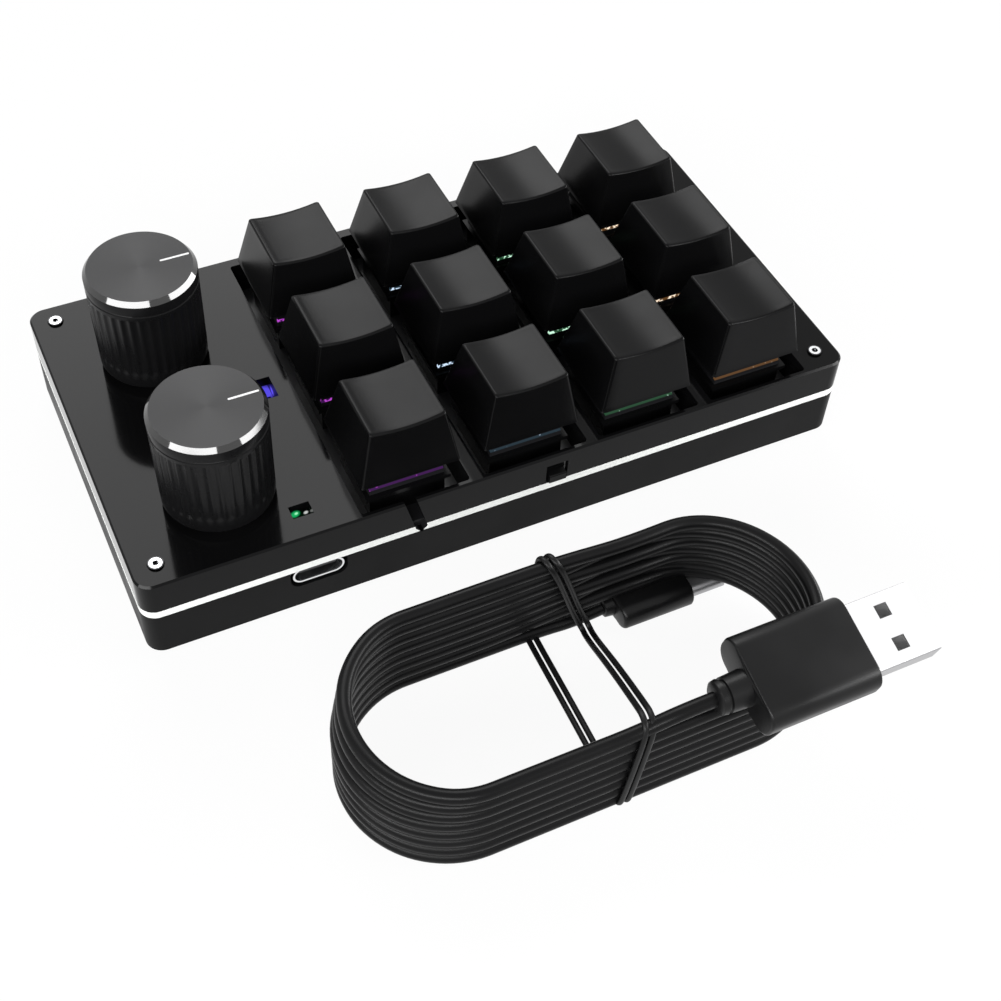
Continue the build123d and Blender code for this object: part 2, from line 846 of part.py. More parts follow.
def cable_tie():
    """Flat tie: over the back run, down inside it, up across to the front run, and under."""
    half = tie_thickness / 2
    back = coil_y + coil_radius + cord / 2 + tie_gap + half
    inner = coil_y + coil_radius - cord / 2 - tie_gap - half
    front = coil_y - coil_radius - cord / 2 - tie_gap - half
    front_inner = coil_y - coil_radius + cord / 2 + tie_gap + half
    top = coil_height + tie_gap + half
    front_top = top + tie_bump
    outline = Polyline(
        (back, half),
        (back, top),
        (inner, top),
        (inner, tie_low),
        (front_inner, front_top),
        (front, front_top),
        (front, half),
        close=True,
    )
    face = make_face(Plane.YZ * outline)
    ring = offset(face, half) - offset(face, -half)
    return Pos(tie_x, 0, 0) * extrude(ring, tie_width / 2, both=True)


# ---- write every piece -----------------------------------------------------------------------
def spread(shape, places, z=0.0):
    """The same piece at every place."""
    return [at(x, y, z, shape) for x, y in places]


def save(name, shapes):
    """Write one STEP, a group of separate solids where the piece repeats."""
    pieces = shapes if isinstance(shapes, list) else [shapes]
    solids = [solid for piece in pieces for solid in piece.solids()]
    export_step(Compound(children=solids) if len(solids) > 1 else solids[0], f"parts/{name}.step")


os.makedirs("parts", exist_ok=True)
save("lower_shell", lower_shell())
save("circuit_board", circuit_board())
save("top_frame", top_frame())
save("case_screws", case_screws())
save("feet", feet())
save("key_lights", key_lights())
save("switch_sockets", switch_sockets())
save("switch_bases", spread(switch_base(), key_places, board_top))
save("switch_covers", spread(switch_cover(), key_places, board_top))
cap, stem = keycap(), switch_stem()
for number, (x, y) in enumerate(key_places, 1):
    save(f"keycap_{number:02d}", at(x, y, board_top + cap_rise, cap))
    save(f"switch_stem_{number:02d}", at(x, y, board_top, stem))
save("encoder_bodies", spread(encoder_body(), knob_places))
save("encoder_washers", spread(washer(), knob_places))
save("encoder_nuts", spread(nut(), knob_places))
shell, core, shaft, plunger = knob_shell(), knob_core(), encoder_shaft(), encoder_plunger()
for number, (x, y) in enumerate(knob_places, 1):
    save(f"knob_shell_{number}", at(x, y, 0, shell))
    save(f"knob_core_{number}", at(x, y, 0, core))
    save(f"encoder_shaft_{number}", at(x, y, 0, shaft))
    save(f"encoder_plunger_{number}", at(x, y, 0, plunger))
save("status_lights", status_lights())
save("side_button_body", button_body())
save("side_button_nub", button_nub())
save("usb_port_shell", port_shell())
save("usb_port_tongue", port_tongue())
save("board_chips", board_chips())
save("cable_coil", cable_coil())
save("cable_tail", cable_tail())
save("usb_c_plug_grip", c_plug_grip())
save("usb_c_plug_shell", c_plug_shell())
save("usb_a_plug_grip", a_plug_grip())
save("usb_a_plug_shell", a_plug_shell())
save("usb_a_plug_insert", a_plug_insert())
save("cable_tie", cable_tie())
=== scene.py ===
"""Macro keypad with two knobs and its coiled cable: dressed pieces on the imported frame."""

from __future__ import annotations

import logging
import math
from dataclasses import dataclass, field
from enum import Enum, IntEnum
from typing import Callable, Sequence

import bpy
import numpy as np
from mathutils import Matrix

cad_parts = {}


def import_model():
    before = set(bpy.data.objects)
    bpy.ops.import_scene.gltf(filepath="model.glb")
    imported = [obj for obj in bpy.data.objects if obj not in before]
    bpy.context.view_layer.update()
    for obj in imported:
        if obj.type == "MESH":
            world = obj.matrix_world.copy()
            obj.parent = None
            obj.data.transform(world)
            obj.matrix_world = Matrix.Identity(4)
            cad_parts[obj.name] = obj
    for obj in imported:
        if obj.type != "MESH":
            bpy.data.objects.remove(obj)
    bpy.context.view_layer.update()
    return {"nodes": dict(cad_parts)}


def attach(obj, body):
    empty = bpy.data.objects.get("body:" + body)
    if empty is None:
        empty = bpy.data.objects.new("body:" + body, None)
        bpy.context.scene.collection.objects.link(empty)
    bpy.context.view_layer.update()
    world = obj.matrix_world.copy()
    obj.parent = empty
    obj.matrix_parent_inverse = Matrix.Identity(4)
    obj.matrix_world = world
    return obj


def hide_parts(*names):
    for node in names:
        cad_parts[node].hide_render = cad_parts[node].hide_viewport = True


log = logging.getLogger("keypad")
MM = 0.001
HUB = 0.02  # share of its size at which a cap's rows stop and a fan closes the middle

Array = np.ndarray
Pair = tuple[float, float]
Vec = tuple[float, float, float]
Item = bpy.types.Object
Material = bpy.types.Material
Node = bpy.types.Node
Socket = bpy.types.NodeSocket
Inputs = dict[str | int, object]


class Blend(Enum):
    """How two colours are put together."""

    MIX = "MIX"
    ADD = "ADD"
    MULTIPLY = "MULTIPLY"


class Skin(IntEnum):
    """Finish numbers on a knob's cup, in the order of its materials."""

    SIDE = 0
    CUT = 1
    CROWN = 2


def add(name: str, data: bpy.types.ID) -> Item:
    """Put an object with this mesh, curve, lamp or camera into the scene, and give it back."""
    bpy.context.scene.collection.objects.link(made := bpy.data.objects.new(name, data))
    return made


def seat(piece: Item, body: str, nodes: Sequence[str] = ()) -> None:
    """Tie a piece to its body and to the nodes that it stands for, and report it.

    Args:
        piece: the finished object.
        body: the body that it rides on.
        nodes: the nodes that it replaces.
    """
    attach(piece, body)
    if nodes:
        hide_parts(*nodes)
    log.info("piece %s: body %s, nodes %s", piece.name, body, ", ".join(nodes) or "none")


# ---- surfaces ----
class Surface:
    """Collects grids of points into one mesh, with a finish for each row of faces."""

    def __init__(self, name: str) -> None:
        """Start an empty surface under the piece's name."""
        self.name = name
        self.points: list[Array] = []
        self.faces: list[Array] = []
        self.slots: list[Array] = []

    def grid(
        self, points: Array, ring: bool = False, slots: Array | int = 0, lids: bool = False
    ) -> None:
        """Add quads over rows of points, each row closed on itself.

        Args:
            points: rows x columns x 3 array in millimetres.
            ring: join the last row to the first.
            slots: finish number, one for all or one for each row of faces.
            lids: close the first and the last row with a fan to its middle.
        """
        rows, cols = points.shape[:2]
        starts = np.arange(rows if ring else rows - 1)
        row, col = np.meshgrid(starts, np.arange(cols), indexing="ij")
        up, across = (row + 1) % rows, (col + 1) % cols
        corners = ((row, col), (row, across), (up, across), (up, col))
        quads = np.stack([r * cols + c for r, c in corners], axis=-1).reshape(-1, 4)
        per_row = np.broadcast_to(np.asarray(slots), (len(starts),))
        first = self._keep(points.reshape(-1, 3)) + np.arange(cols)
        self.faces.append(quads + first[0])
        self.slots.append(np.repeat(per_row, cols))
        if lids:
            self._lid(first, points[0], True, int(per_row[0]))
            self._lid(first + (rows - 1) * cols, points[-1], False, int(per_row[-1]))

    def _keep(self, points: Array) -> int:
        """Keep N x 3 points, and give the number of the first one."""
        self.points.append(points)
        return sum(map(len, self.points[:-1]))

    def _lid(self, rim: Array, ring: Array, down: bool, slot: int) -> None:
        """Fan of triangles from a rim to its middle point.

        Args:
            rim: numbers of the rim's points.
            ring: the rim's points.
            down: whether the fan looks against the rows' direction.
            slot: finish number of the fan.
        """
        hub = np.full_like(rim, self._keep(ring.mean(axis=0)[None]))
        after = np.roll(rim, -1)
        self.faces.append(np.stack([rim, hub, after] if down else [rim, after, hub], axis=-1))
        self.slots.append(np.full(len(rim), slot))

    def build(self, finishes: Sequence[Material], smooth: float = 35.0) -> Item:
        """Make the mesh object, in metres.

        Args:
            finishes: the materials, in the order of the finish numbers.
            smooth: edges bent by more than this many degrees stay sharp.

        Returns:
            The object, at the origin.
        """
        mesh = bpy.data.meshes.new(self.name)
        faces = [tuple(f) for block in self.faces for f in block.tolist()]
        mesh.from_pydata((np.concatenate(self.points) * MM).tolist(), [], faces)
        for finish in finishes:
            mesh.materials.append(finish)
        numbers = np.concatenate(self.slots).astype(np.int32)
        mesh.polygons.foreach_set("material_index", numbers)
        mesh.polygons.foreach_set("use_smooth", np.ones(len(numbers), bool))
        mesh.validate()
        mesh.set_sharp_from_angle(angle=math.radians(smooth))
        mesh.update()
        return add(self.name, mesh)


def rounded(half: Array, radius: Array, corner_steps: int, side_steps: int) -> Array:
    """Points of many rounded rectangles at once, anticlockwise from the right side.

    A point is sign * (half - radius) + radius * direction. On a corner the direction
    turns, and on a side the sign goes over to the next corner's.

    Args:
        half: K x 2 half sizes.
        radius: K corner radii.
        corner_steps: steps in each corner.
        side_steps: steps in each side.

    Returns:
        K x N x 2 array.
    """
    signs, ways = [], []
    corners = np.array([[1.0, 1.0], [-1.0, 1.0], [-1.0, -1.0], [1.0, -1.0]])
    share = np.linspace(0, 1, side_steps + 1)[1:-1, None]
    for k, corner in enumerate(corners):
        turn = np.linspace(0, np.pi / 2, corner_steps + 1) + k * np.pi / 2
        way = np.stack([np.cos(turn), np.sin(turn)], axis=-1)
        signs += [np.repeat(corner[None], len(turn), axis=0)]
        signs += [corner * (1 - share) + corners[(k + 1) % 4] * share]
        ways += [way, np.repeat(way[-1:], len(share), axis=0)]
    inner = np.concatenate(signs)[None] * (half - radius[:, None])[:, None]
    return inner + np.concatenate(ways)[None] * radius[:, None, None]


def lathe(
    profile: Array,
    steps: int,
    wave: Callable[[Array], Array] = np.zeros_like,
    depth: Array | float = 0.0,
) -> Array:
    """Turned surface: a profile of radius and height, carried round Z.

    The radius at an angle is the profile's radius less depth times wave(angle).

    Args:
        profile: K x 2 radii and heights.
        steps: points round the axis.
        wave: periodic cut between 0 and 1 as a function of the angle.
        depth: depth of the cut, one for all or one for each row.

    Returns:
        K x steps x 3 array.
    """
    turn = np.linspace(0, 2 * np.pi, steps, endpoint=False)
    radius = profile[:, :1] - np.reshape(depth, (-1, 1)) * wave(turn)
    height = np.repeat(profile[:, 1:], steps, axis=1)
    return np.stack([radius * np.cos(turn), radius * np.sin(turn), height], axis=-1)


def quadratic(points: Array, per_span: int, closed: bool = False) -> Array:
    """Smooth line of a uniform quadratic B-spline.

    In each span the line is a(1-t)^2/2 + b(1/2+t-t^2) + c t^2/2 for three points in a row.

    Args:
        points: K x 3 control points.
        per_span: steps in each span.
        closed: whether the line closes on itself.

    Returns:
        M x 3 points along the line.
    """
    knots = np.concatenate([points, points[:2]]) if closed else points
    t = np.linspace(0, 1, per_span, endpoint=False)[None, :, None]
    a, b, c = (knots[i : len(knots) - 2 + i, None] for i in range(3))
    line = (a * (1 - t) ** 2 / 2 + b * (0.5 + t - t**2) + c * t**2 / 2).reshape(-1, 3)
    return line if closed else np.concatenate([line, (knots[-2:-1] + knots[-1:]) / 2])


# ---- shader nodes ----
@dataclass(frozen=True)
class Pool:
    """Coloured spot of light on a surface: full in its core, then fading to its radius."""

    centre: Vec
    radius: float
    colour: Vec
    core: float = 0.5


class NodeBench:
    """Short hand for shader nodes in one tree."""

    def __init__(self, tree: bpy.types.NodeTree) -> None:
        """Work on a tree."""
        self.tree = tree

    def fill(self, node: Node, inputs: Inputs) -> None:
        """Set or link inputs of a node.

        Args:
            node: the node.
            inputs: value or socket for each input.
        """
        for key, value in inputs.items():
            if isinstance(value, Socket):
                self.tree.links.new(value, node.inputs[key])
            else:
                node.inputs[key].default_value = value

    def node(self, kind: str, inputs: Inputs | None = None, **settings: object) -> Node:
        """Add a node, set its properties, and set or link its inputs.

        Args:
            kind: the node's type name without ShaderNode.
            inputs: value or socket for each input.
            settings: the node's own properties.

        Returns:
            The node.
        """
        made = self.tree.nodes.new("ShaderNode" + kind)
        for key, value in settings.items():
            setattr(made, key, value)
        self.fill(made, inputs or {})
        return made

    def coat(self, **inputs: object) -> None:
        """Set or link inputs of the Principled shader, named with underscores for spaces."""
        named = {key.replace("_", " "): value for key, value in inputs.items()}
        self.fill(self.tree.nodes["Principled BSDF"], named)

    def maths(self, operation: str, *values: Socket | float, clamp: bool = False) -> Socket:
        """Result of a Math node on these values."""
        inputs = dict(enumerate(values))
        return self.node("Math", inputs, operation=operation, use_clamp=clamp).outputs[0]

    def noise(self, place: Socket, scale: Socket | float, detail: float) -> Socket:
        """Noise at a place."""
        inputs = {"Vector": place, "Scale": scale, "Detail": detail}
        return self.node("TexNoise", inputs).outputs[0]

    def mix(
        self, share: Socket | float, first: object, second: object, blend: Blend = Blend.MIX
    ) -> Socket:
        """Two colours put together.

        Args:
            share: how far the result goes to the second one.
            first: colour at a share of 0, as a socket or three numbers.
            second: colour that comes in with the share, likewise.
            blend: how they are put together.

        Returns:
            The colour.
        """
        ends = [(*end, 1) if isinstance(end, tuple) else end for end in (first, second)]
        inputs = {0: share, 1: ends[0], 2: ends[1]}
        return self.node("MixRGB", inputs, blend_type=blend.value).outputs[0]

    def place(self) -> Socket:
        """Object coordinates."""
        return self.node("TexCoord").outputs["Object"]

    def axes(self) -> Sequence[Socket]:
        """X, Y and Z of the object coordinates."""
        return self.node("SeparateXYZ", {0: self.place()}).outputs

    def between(self, value: Socket, low: float, high: float) -> Socket:
        """1 where a value in metres lies between two levels in millimetres, else 0."""
        return self.maths("COMPARE", value, (low + high) / 2 * MM, (high - low) / 2 * MM)

    def beyond(self, value: Socket, edge: float) -> Socket:
        """1 where a value in metres lies past an edge in millimetres, else 0."""
        return self.maths("GREATER_THAN", value, edge * MM)

    def pools(self, spots: Sequence[Pool]) -> Socket:
        """Sum of coloured spots.

        Args:
            spots: the pools of light.

        Returns:
            The colour.
        """
        total: Socket | None = None
        for pool in spots:
            inputs = {0: self.place(), 1: tuple(c * MM for c in pool.centre)}
            away = self.node("VectorMath", inputs, operation="DISTANCE").outputs["Value"]
            limits = {"From Min": pool.radius * pool.core * MM, "From Max": pool.radius * MM}
            fade = self.node("MapRange", {"Value": away, **limits, "To Min": 1.0, "To Max": 0.0})
            lit = self.mix(fade.outputs[0], (0, 0, 0), pool.colour)
            total = lit if total is None else self.mix(1.0, total, lit, Blend.ADD)
        return total

    def repeat(self, value: Socket, middle: float, pitch: float) -> Socket:
        """Place in metres from the nearest of a row of middles, a pitch in millimetres apart."""
        part = self.maths("SUBTRACT", value, (middle - pitch / 2) * MM), pitch * MM
        return self.maths("SUBTRACT", self.maths("FLOORED_MODULO", *part), pitch / 2 * MM)

    def steps(self, value: Socket, edges: Sequence[float], colours: Sequence[Vec]) -> Socket:
        """Colour that changes at each edge along a value.

        Args:
            value: what is compared, in metres.
            edges: places of the changes in millimetres.
            colours: one more colour than edges.

        Returns:
            The colour.
        """
        last: Socket | Vec = colours[0]
        for edge, colour in zip(edges, colours[1:]):
            last = self.mix(self.beyond(value, edge), last, colour)
        return last

    def ramp(self, factor: Socket, stops: Sequence[Pair]) -> Socket:
        """Grey colour ramp.

        Args:
            factor: what the ramp reads.
            stops: position and grey value of its two stops.

        Returns:
            The ramp's colour.
        """
        made = self.node("ValToRGB", {0: factor})
        for element, (where, grey) in zip(made.color_ramp.elements, stops):
            element.position = where
            element.color = (grey, grey, grey, 1)
        return made.outputs[0]


def mould_grain() -> bpy.types.NodeTree:
    """Shared group of fine spark grain and a slow change of sheen, built at its first use.

    Returns:
        A group that takes a place and a grain scale, and puts out a height and a sheen mask.
    """
    tree = bpy.data.node_groups.get("mould_grain")
    if tree:
        return tree
    tree = bpy.data.node_groups.new("mould_grain", "ShaderNodeTree")
    for name, way, kind in (
        ("Place", "INPUT", "Vector"), ("Grain", "INPUT", "Float"),
        ("Height", "OUTPUT", "Float"), ("Sheen", "OUTPUT", "Float"),
    ):
        tree.interface.new_socket(name, in_out=way, socket_type="NodeSocket" + kind)
    bench = NodeBench(tree)
    start = tree.nodes.new("NodeGroupInput").outputs
    slow = bench.noise(start["Place"], 90.0, 2.0)
    sheen = bench.node("MapRange", {"Value": slow, "From Min": 0.3, "From Max": 0.7}).outputs[0]
    height = bench.noise(start["Place"], start["Grain"], 3.0)
    bench.fill(tree.nodes.new("NodeGroupOutput"), {"Height": height, "Sheen": sheen})
    return tree


# ---- finishes ----
@dataclass(frozen=True)
class Finish:
    """Moulded, painted or metal finish, and the plain settings of every other finish."""

    name: str
    colour: Vec
    rough: float = 0.4
    metallic: float = 0.0
    specular: float = 0.5
    grain: float = 0.0
    grain_scale: float = 4000.0
    grain_depth: float = 0.00002
    rough_change: float = 0.06
    least_rough: float = 0.02
    lit: tuple[Pool, ...] = ()

    def make(self) -> Material:
        """Material with the plain settings on its Principled shader, then painted.

        Returns:
            The material.
        """
        made = bpy.data.materials.new(self.name)
        made.use_nodes = True
        bench = NodeBench(made.node_tree)
        bench.coat(Base_Color=(*self.colour, 1), Roughness=self.rough)
        bench.coat(Metallic=self.metallic, Specular_IOR_Level=self.specular)
        if self.lit:
            bench.coat(Emission_Color=bench.pools(self.lit), Emission_Strength=1.0)
        self.paint(bench)
        return made

    def paint(self, bench: NodeBench) -> None:
        """Grain in the bump, and a slow change of sheen in the roughness.

        Args:
            bench: the material's nodes.
        """
        grain = bench.node("Group", node_tree=mould_grain())
        bench.fill(grain, {"Place": bench.place(), "Grain": self.grain_scale})
        low = max(self.least_rough, self.rough - self.rough_change)
        span = {"To Min": low, "To Max": self.rough + self.rough_change}
        sheen = bench.node("MapRange", {"Value": grain.outputs["Sheen"], **span})
        bench.coat(Roughness=sheen.outputs[0])
        if self.grain > 0:
            self.bump(bench, grain.outputs["Height"], self.grain)

    def bump(self, bench: NodeBench, height: Socket, strength: float) -> None:
        """Fine relief in the shader's normal, as strong as asked."""
        relief = {"Height": height, "Strength": strength, "Distance": self.grain_depth}
        bench.coat(Normal=bench.node("Bump", relief).outputs[0])


@dataclass(frozen=True)
class BoardFinish(Finish):
    """Laminate: pale cut edge between dark faces, painted dark in its notch as shade."""

    low: float = 11.2
    high: float = 12.8
    skin: float = 0.03
    edge: Vec = (0.9, 0.91, 0.9)
    fibre: Vec = (0.68, 0.70, 0.67)
    fibre_scale: float = 2500.0
    notch: tuple[Pair, Pair] = ((-19.7, -16.0), (-35.25, -33.8))

    def paint(self, bench: NodeBench) -> None:
        """Edge colour where the height lies inside the board, and dark faces; the edge in the
        notch is painted dark as shade.

        Args:
            bench: the material's nodes.
        """
        x, y, z = bench.axes()
        inside = bench.between(z, self.low + self.skin, self.high - self.skin)
        cut = (bench.between(value, *span) for value, span in zip((x, y), self.notch))
        # painted shade: the pale edge is taken out inside the notch
        inside = bench.maths("SUBTRACT", inside, bench.maths("MULTIPLY", *cut), clamp=True)
        pale = bench.mix(bench.noise(bench.place(), self.fibre_scale, 4.0), self.edge, self.fibre)
        bench.coat(Base_Color=bench.mix(inside, self.colour, pale))


@dataclass(frozen=True)
class ScrewFinish(Finish):
    """Plated screw head: bright ring between a socket painted dark as shade and a darker outer
    edge.
    """

    places: Pair = (63.2, 30.95)
    ring: Pair = (0.55, 1.08)
    dark: Vec = (0.05, 0.05, 0.052)

    def paint(self, bench: NodeBench) -> None:
        """Colour by the distance from the axis of the nearest of four screws; the dark socket is
        painted shade.

        Args:
            bench: the material's nodes.
        """
        away = [
            bench.maths("SUBTRACT", bench.maths("ABSOLUTE", value), place * MM)
            for value, place in zip(bench.axes(), self.places)
        ]
        flat = bench.node("CombineXYZ", dict(enumerate(away))).outputs[0]
        reach = bench.node("VectorMath", {0: flat}, operation="LENGTH").outputs["Value"]
        # painted shade in the socket, and a darker outer edge, both in the dark colour
        bench.coat(Base_Color=bench.mix(bench.between(reach, *self.ring), self.dark, self.colour))


@dataclass(frozen=True)
class PlugSteelFinish(Finish):
    """Folded sheet shell of the long plug: bright faces, with sides and cut end painted greyer as
    shade.
    """

    middle: Pair = (-91.2, 21.6)
    lean: float = 15.0
    half_width: float = 5.9
    end: float = 43.6
    # painted shade colour of the sides and the cut end
    side: Vec = (0.40, 0.40, 0.41)

    def paint(self, bench: NodeBench) -> None:
        """Painted shade: side colour beyond a distance along the shell's width, and past its end.

        Args:
            bench: the material's nodes.
        """
        x, y, z = bench.axes()
        cos, sin = math.cos(math.radians(self.lean)), math.sin(math.radians(self.lean))
        level, rise = bench.maths("MULTIPLY", y, cos), bench.maths("MULTIPLY", z, sin)
        start = (self.middle[0] * cos + self.middle[1] * sin) * MM
        away = bench.maths("SUBTRACT", bench.maths("ADD", level, rise), start)
        edge = bench.beyond(bench.maths("ABSOLUTE", away), self.half_width)
        mask = bench.maths("MAXIMUM", edge, bench.beyond(x, self.end))
        bench.coat(Base_Color=bench.mix(mask, self.colour, self.side))


@dataclass(frozen=True)
class SpunFinish(Finish):
    """Spun disc: fine rings round its own middle, seen as bright fans."""

    anisotropy: float = 0.8
    rings: float = 9000.0
    relief: float = 0.15

    def paint(self, bench: NodeBench) -> None:
        """Anisotropic metal whose grain follows the piece's own map.

        Args:
            bench: the material's nodes.
        """
        tangent = bench.node("Tangent", direction_type="UV_MAP", uv_map="UVMap").outputs[0]
        bench.coat(Anisotropic=self.anisotropy, Tangent=tangent)
        place = bench.node("UVMap", uv_map="UVMap").outputs[0]
        out = bench.node("SeparateXYZ", {0: place}).outputs[1]
        rings = {"W": out, "Scale": self.rings, "Detail": 2.0}
        height = bench.node("TexNoise", rings, noise_dimensions="1D").outputs[0]
        self.bump(bench, height, self.relief)


@dataclass(frozen=True)
class GlowFinish(Finish):
    """Light that glows in a colour of its own for each column of keys."""

    strength: float = 1.0
    columns: tuple[float, ...] = ()
    colours: tuple[Vec, ...] = ()

    def paint(self, bench: NodeBench) -> None:
        """Emission colour chosen by steps along X."""
        colour = bench.steps(bench.axes()[0], self.columns, self.colours)
        bench.coat(Emission_Color=colour, Emission_Strength=self.strength)


@dataclass(frozen=True)
class CoverFinish(Finish):
    """Smoky clear cover with painted light on its front lip: a thin emissive line in each column's
    colour, with painted glints.
    """

    pitch: float = 22.6
    first: Pair = (-18.85, -23.4)
    lip: Pair = (19.35, 19.85)
    reach: Pair = (-7.2, -6.2)
    half_length: float = 6.9
    front_row: float = -16.0
    spot_scale: float = 1500.0
    many: tuple[Pair, Pair] = ((0.50, 0.0), (0.60, 1.0))
    few: tuple[Pair, Pair] = ((0.68, 0.0), (0.74, 0.5))
    columns: tuple[float, ...] = ()
    painted_lip_lines: tuple[Vec, ...] = ()
    painted_glints: tuple[Vec, ...] = ()

    def paint(self, bench: NodeBench) -> None:
        """Painted light: emission inside a band at the front lip of every cover, whiter painted
        glints in its hot spots.

        Args:
            bench: the material's nodes.
        """
        x, y, z = bench.axes()
        across, along = (bench.repeat(v, m, self.pitch) for v, m in zip((x, y), self.first))
        band = (bench.between(z, *self.lip), bench.between(along, *self.reach))
        width = bench.between(across, -self.half_length, self.half_length)
        mask = bench.maths("MULTIPLY", bench.maths("MULTIPLY", *band), width)
        # painted glints: hot spots of noise, many behind the front row and few in it
        noise = bench.noise(bench.place(), self.spot_scale, 1.0)
        few, many = bench.ramp(noise, self.few), bench.ramp(noise, self.many)
        spots = bench.mix(bench.beyond(y, self.front_row), few, many)
        line, glint_tint = (bench.steps(x, self.columns, c) for c in (self.painted_lip_lines, self.painted_glints))
        glow = bench.mix(1.0, line, bench.mix(1.0, spots, glint_tint, Blend.MULTIPLY), Blend.ADD)
        bench.coat(Emission_Color=glow, Emission_Strength=mask)


@dataclass
class Palette:
    """Every finish of the keypad and its cable."""

    black: Vec = (0.003, 0.003, 0.0032)
    steel: Vec = (0.80, 0.81, 0.82)
    blue: Vec = (0.10, 0.075, 0.80)
    green: Vec = (0.01, 0.42, 0.12)
    columns: tuple[float, ...] = (-7.5, 15.1, 37.7)
    glows: tuple[Vec, ...] = (
        (0.55, 0.02, 1.0), (0.02, 0.40, 0.60), (0.02, 0.75, 0.20), (1.0, 0.28, 0.02),
    )
    # painted light on the covers' front lips, then painted glints, one colour for each column
    painted_lip_lines: tuple[Vec, ...] = (
        (0.045, 0.004, 0.075), (0.014, 0.030, 0.042), (0.016, 0.065, 0.028), (0.110, 0.050, 0.015),
    )
    painted_glints: tuple[Vec, ...] = (
        (0.45, 0.06, 0.55), (0.65, 0.80, 1.00), (0.65, 1.00, 0.78), (1.00, 0.86, 0.68),
    )
    made: dict[str, Material] = field(default_factory=dict)

    def dark(self) -> list[Finish]:
        """The black plastics and the knobs' cut metal.

        Returns:
            The finishes, not yet made.
        """
        black = self.black
        # painted light: glow of the status lights and a painted highlight on the top frame's
        # window walls, as emission pools
        painted_window_light = (
            Pool((-38.4, -28.1, 17.1), 1.0, self.green),
            Pool((-38.2, -28.1, 17.2), 0.4, (0.35, 0.5, 0.4)),
            Pool((-36.5, -28.1, 16.7), 0.5, (0.55, 0.57, 0.55)),
            Pool((-31.9, 3.8, 14.0), 1.3, self.blue),
        )
        gloss = {"specular": 0.10, "rough_change": 0.01, "lit": painted_window_light}
        cap = {"specular": 0.10, "grain": 0.06, "grain_scale": 3000.0, "rough_change": 0.03}
        cable = {"specular": 0.125, "grain": 0.15, "grain_scale": 2500.0}
        grip = {"specular": 0.20, "grain": 0.2, "grain_scale": 3000.0}
        return [
            Finish("gloss_black", black, 0.09, **gloss),
            Finish("shell_black", black, 0.42, specular=0.08, grain=0.25),
            Finish("cap_black", black, 0.24, **cap),
            Finish("switch_black", black, 0.3, specular=0.10, grain=0.1),
            Finish("knob_black", (0.005, 0.005, 0.0053), 0.28, specular=0.11, grain=0.15),
            Finish("cut_edge", (0.008, 0.008, 0.008), 0.07, specular=0.80, rough_change=0.01),
            SpunFinish("spun_black", (0.020, 0.020, 0.021), 0.26, specular=0.16),
            Finish("cable_black", black, 0.34, **cable),
            Finish("grip_black", (0.004, 0.004, 0.0042), 0.34, **grip),
            Finish("tie_black", black, 0.42, specular=0.20, grain=0.2),
            Finish("rubber", (0.010, 0.010, 0.010), 0.7, specular=0.2, grain=0.4),
            Finish("chip_black", (0.015, 0.015, 0.016), 0.5, grain=0.2),
        ]

    def bright(self) -> list[Finish]:
        """Metals, paint, board and lights.

        Returns:
            The finishes, not yet made.
        """
        # painted light: a pool of the blue status light on the board, as emission
        painted_board_light = (Pool((-32.3, 5.0, 12.8), 2.2, self.blue),)
        square = Pool((-34.65, -0.3, 14.5), 3.2, self.blue)
        small = Pool((-37.75, -29.45, 14.5), 2.0, self.green)
        glow = {"columns": self.columns, "colours": self.glows, "strength": 4.5}
        cover = {"columns": self.columns, "painted_lip_lines": self.painted_lip_lines, "painted_glints": self.painted_glints}
        return [
            Finish("stem_plastic", (0.05, 0.012, 0.006), 0.35, specular=0.2),
            Finish("steel", self.steel, 0.22, metallic=1.0, grain=0.05),
            Finish("dull_steel", (0.42, 0.42, 0.43), 0.35, metallic=1.0, grain=0.05),
            ScrewFinish("screw_steel", self.steel, 0.25, metallic=1.0),
            PlugSteelFinish("plug_steel", (0.92, 0.92, 0.93), 0.30, metallic=1.0),
            Finish("white_paint", (0.85, 0.85, 0.85), 0.45),
            Finish("plug_insert", (0.20, 0.20, 0.20), 0.4),
            BoardFinish("board_laminate", (0.008, 0.008, 0.009), 0.4, lit=painted_board_light),
            CoverFinish("switch_clear", (0.010, 0.010, 0.011), 0.15, specular=0.20, **cover),
            GlowFinish("key_glow", (0.8, 0.8, 0.8), 0.3, **glow),
            Finish("status_glow", (0.02, 0.02, 0.02), 0.3, lit=(square, small)),
        ]

    def build(self) -> None:
        """Make every material."""
        self.made = {finish.name: finish.make() for finish in self.dark() + self.bright()}

    def __getitem__(self, name: str) -> Material:
        """Material by name."""
        return self.made[name]


# ---- camera and light ----
def heading(turn: float, rise: float) -> Vec:
    """Unit vector at an angle clockwise from +Y and an angle above the floor, in degrees."""
    a, b = math.radians(turn), math.radians(rise)
    return math.sin(a) * math.cos(b), math.cos(a) * math.cos(b), math.sin(b)


@dataclass(frozen=True)
class Softbox:
    """Flat lamp stretched between two directions from the point that it faces."""

    name: str
    start: Vec
    end: Vec
    width: float
    radiance: float
    distance: float = 1.0
    aim: Vec = (-0.049, -0.003, 0.040)


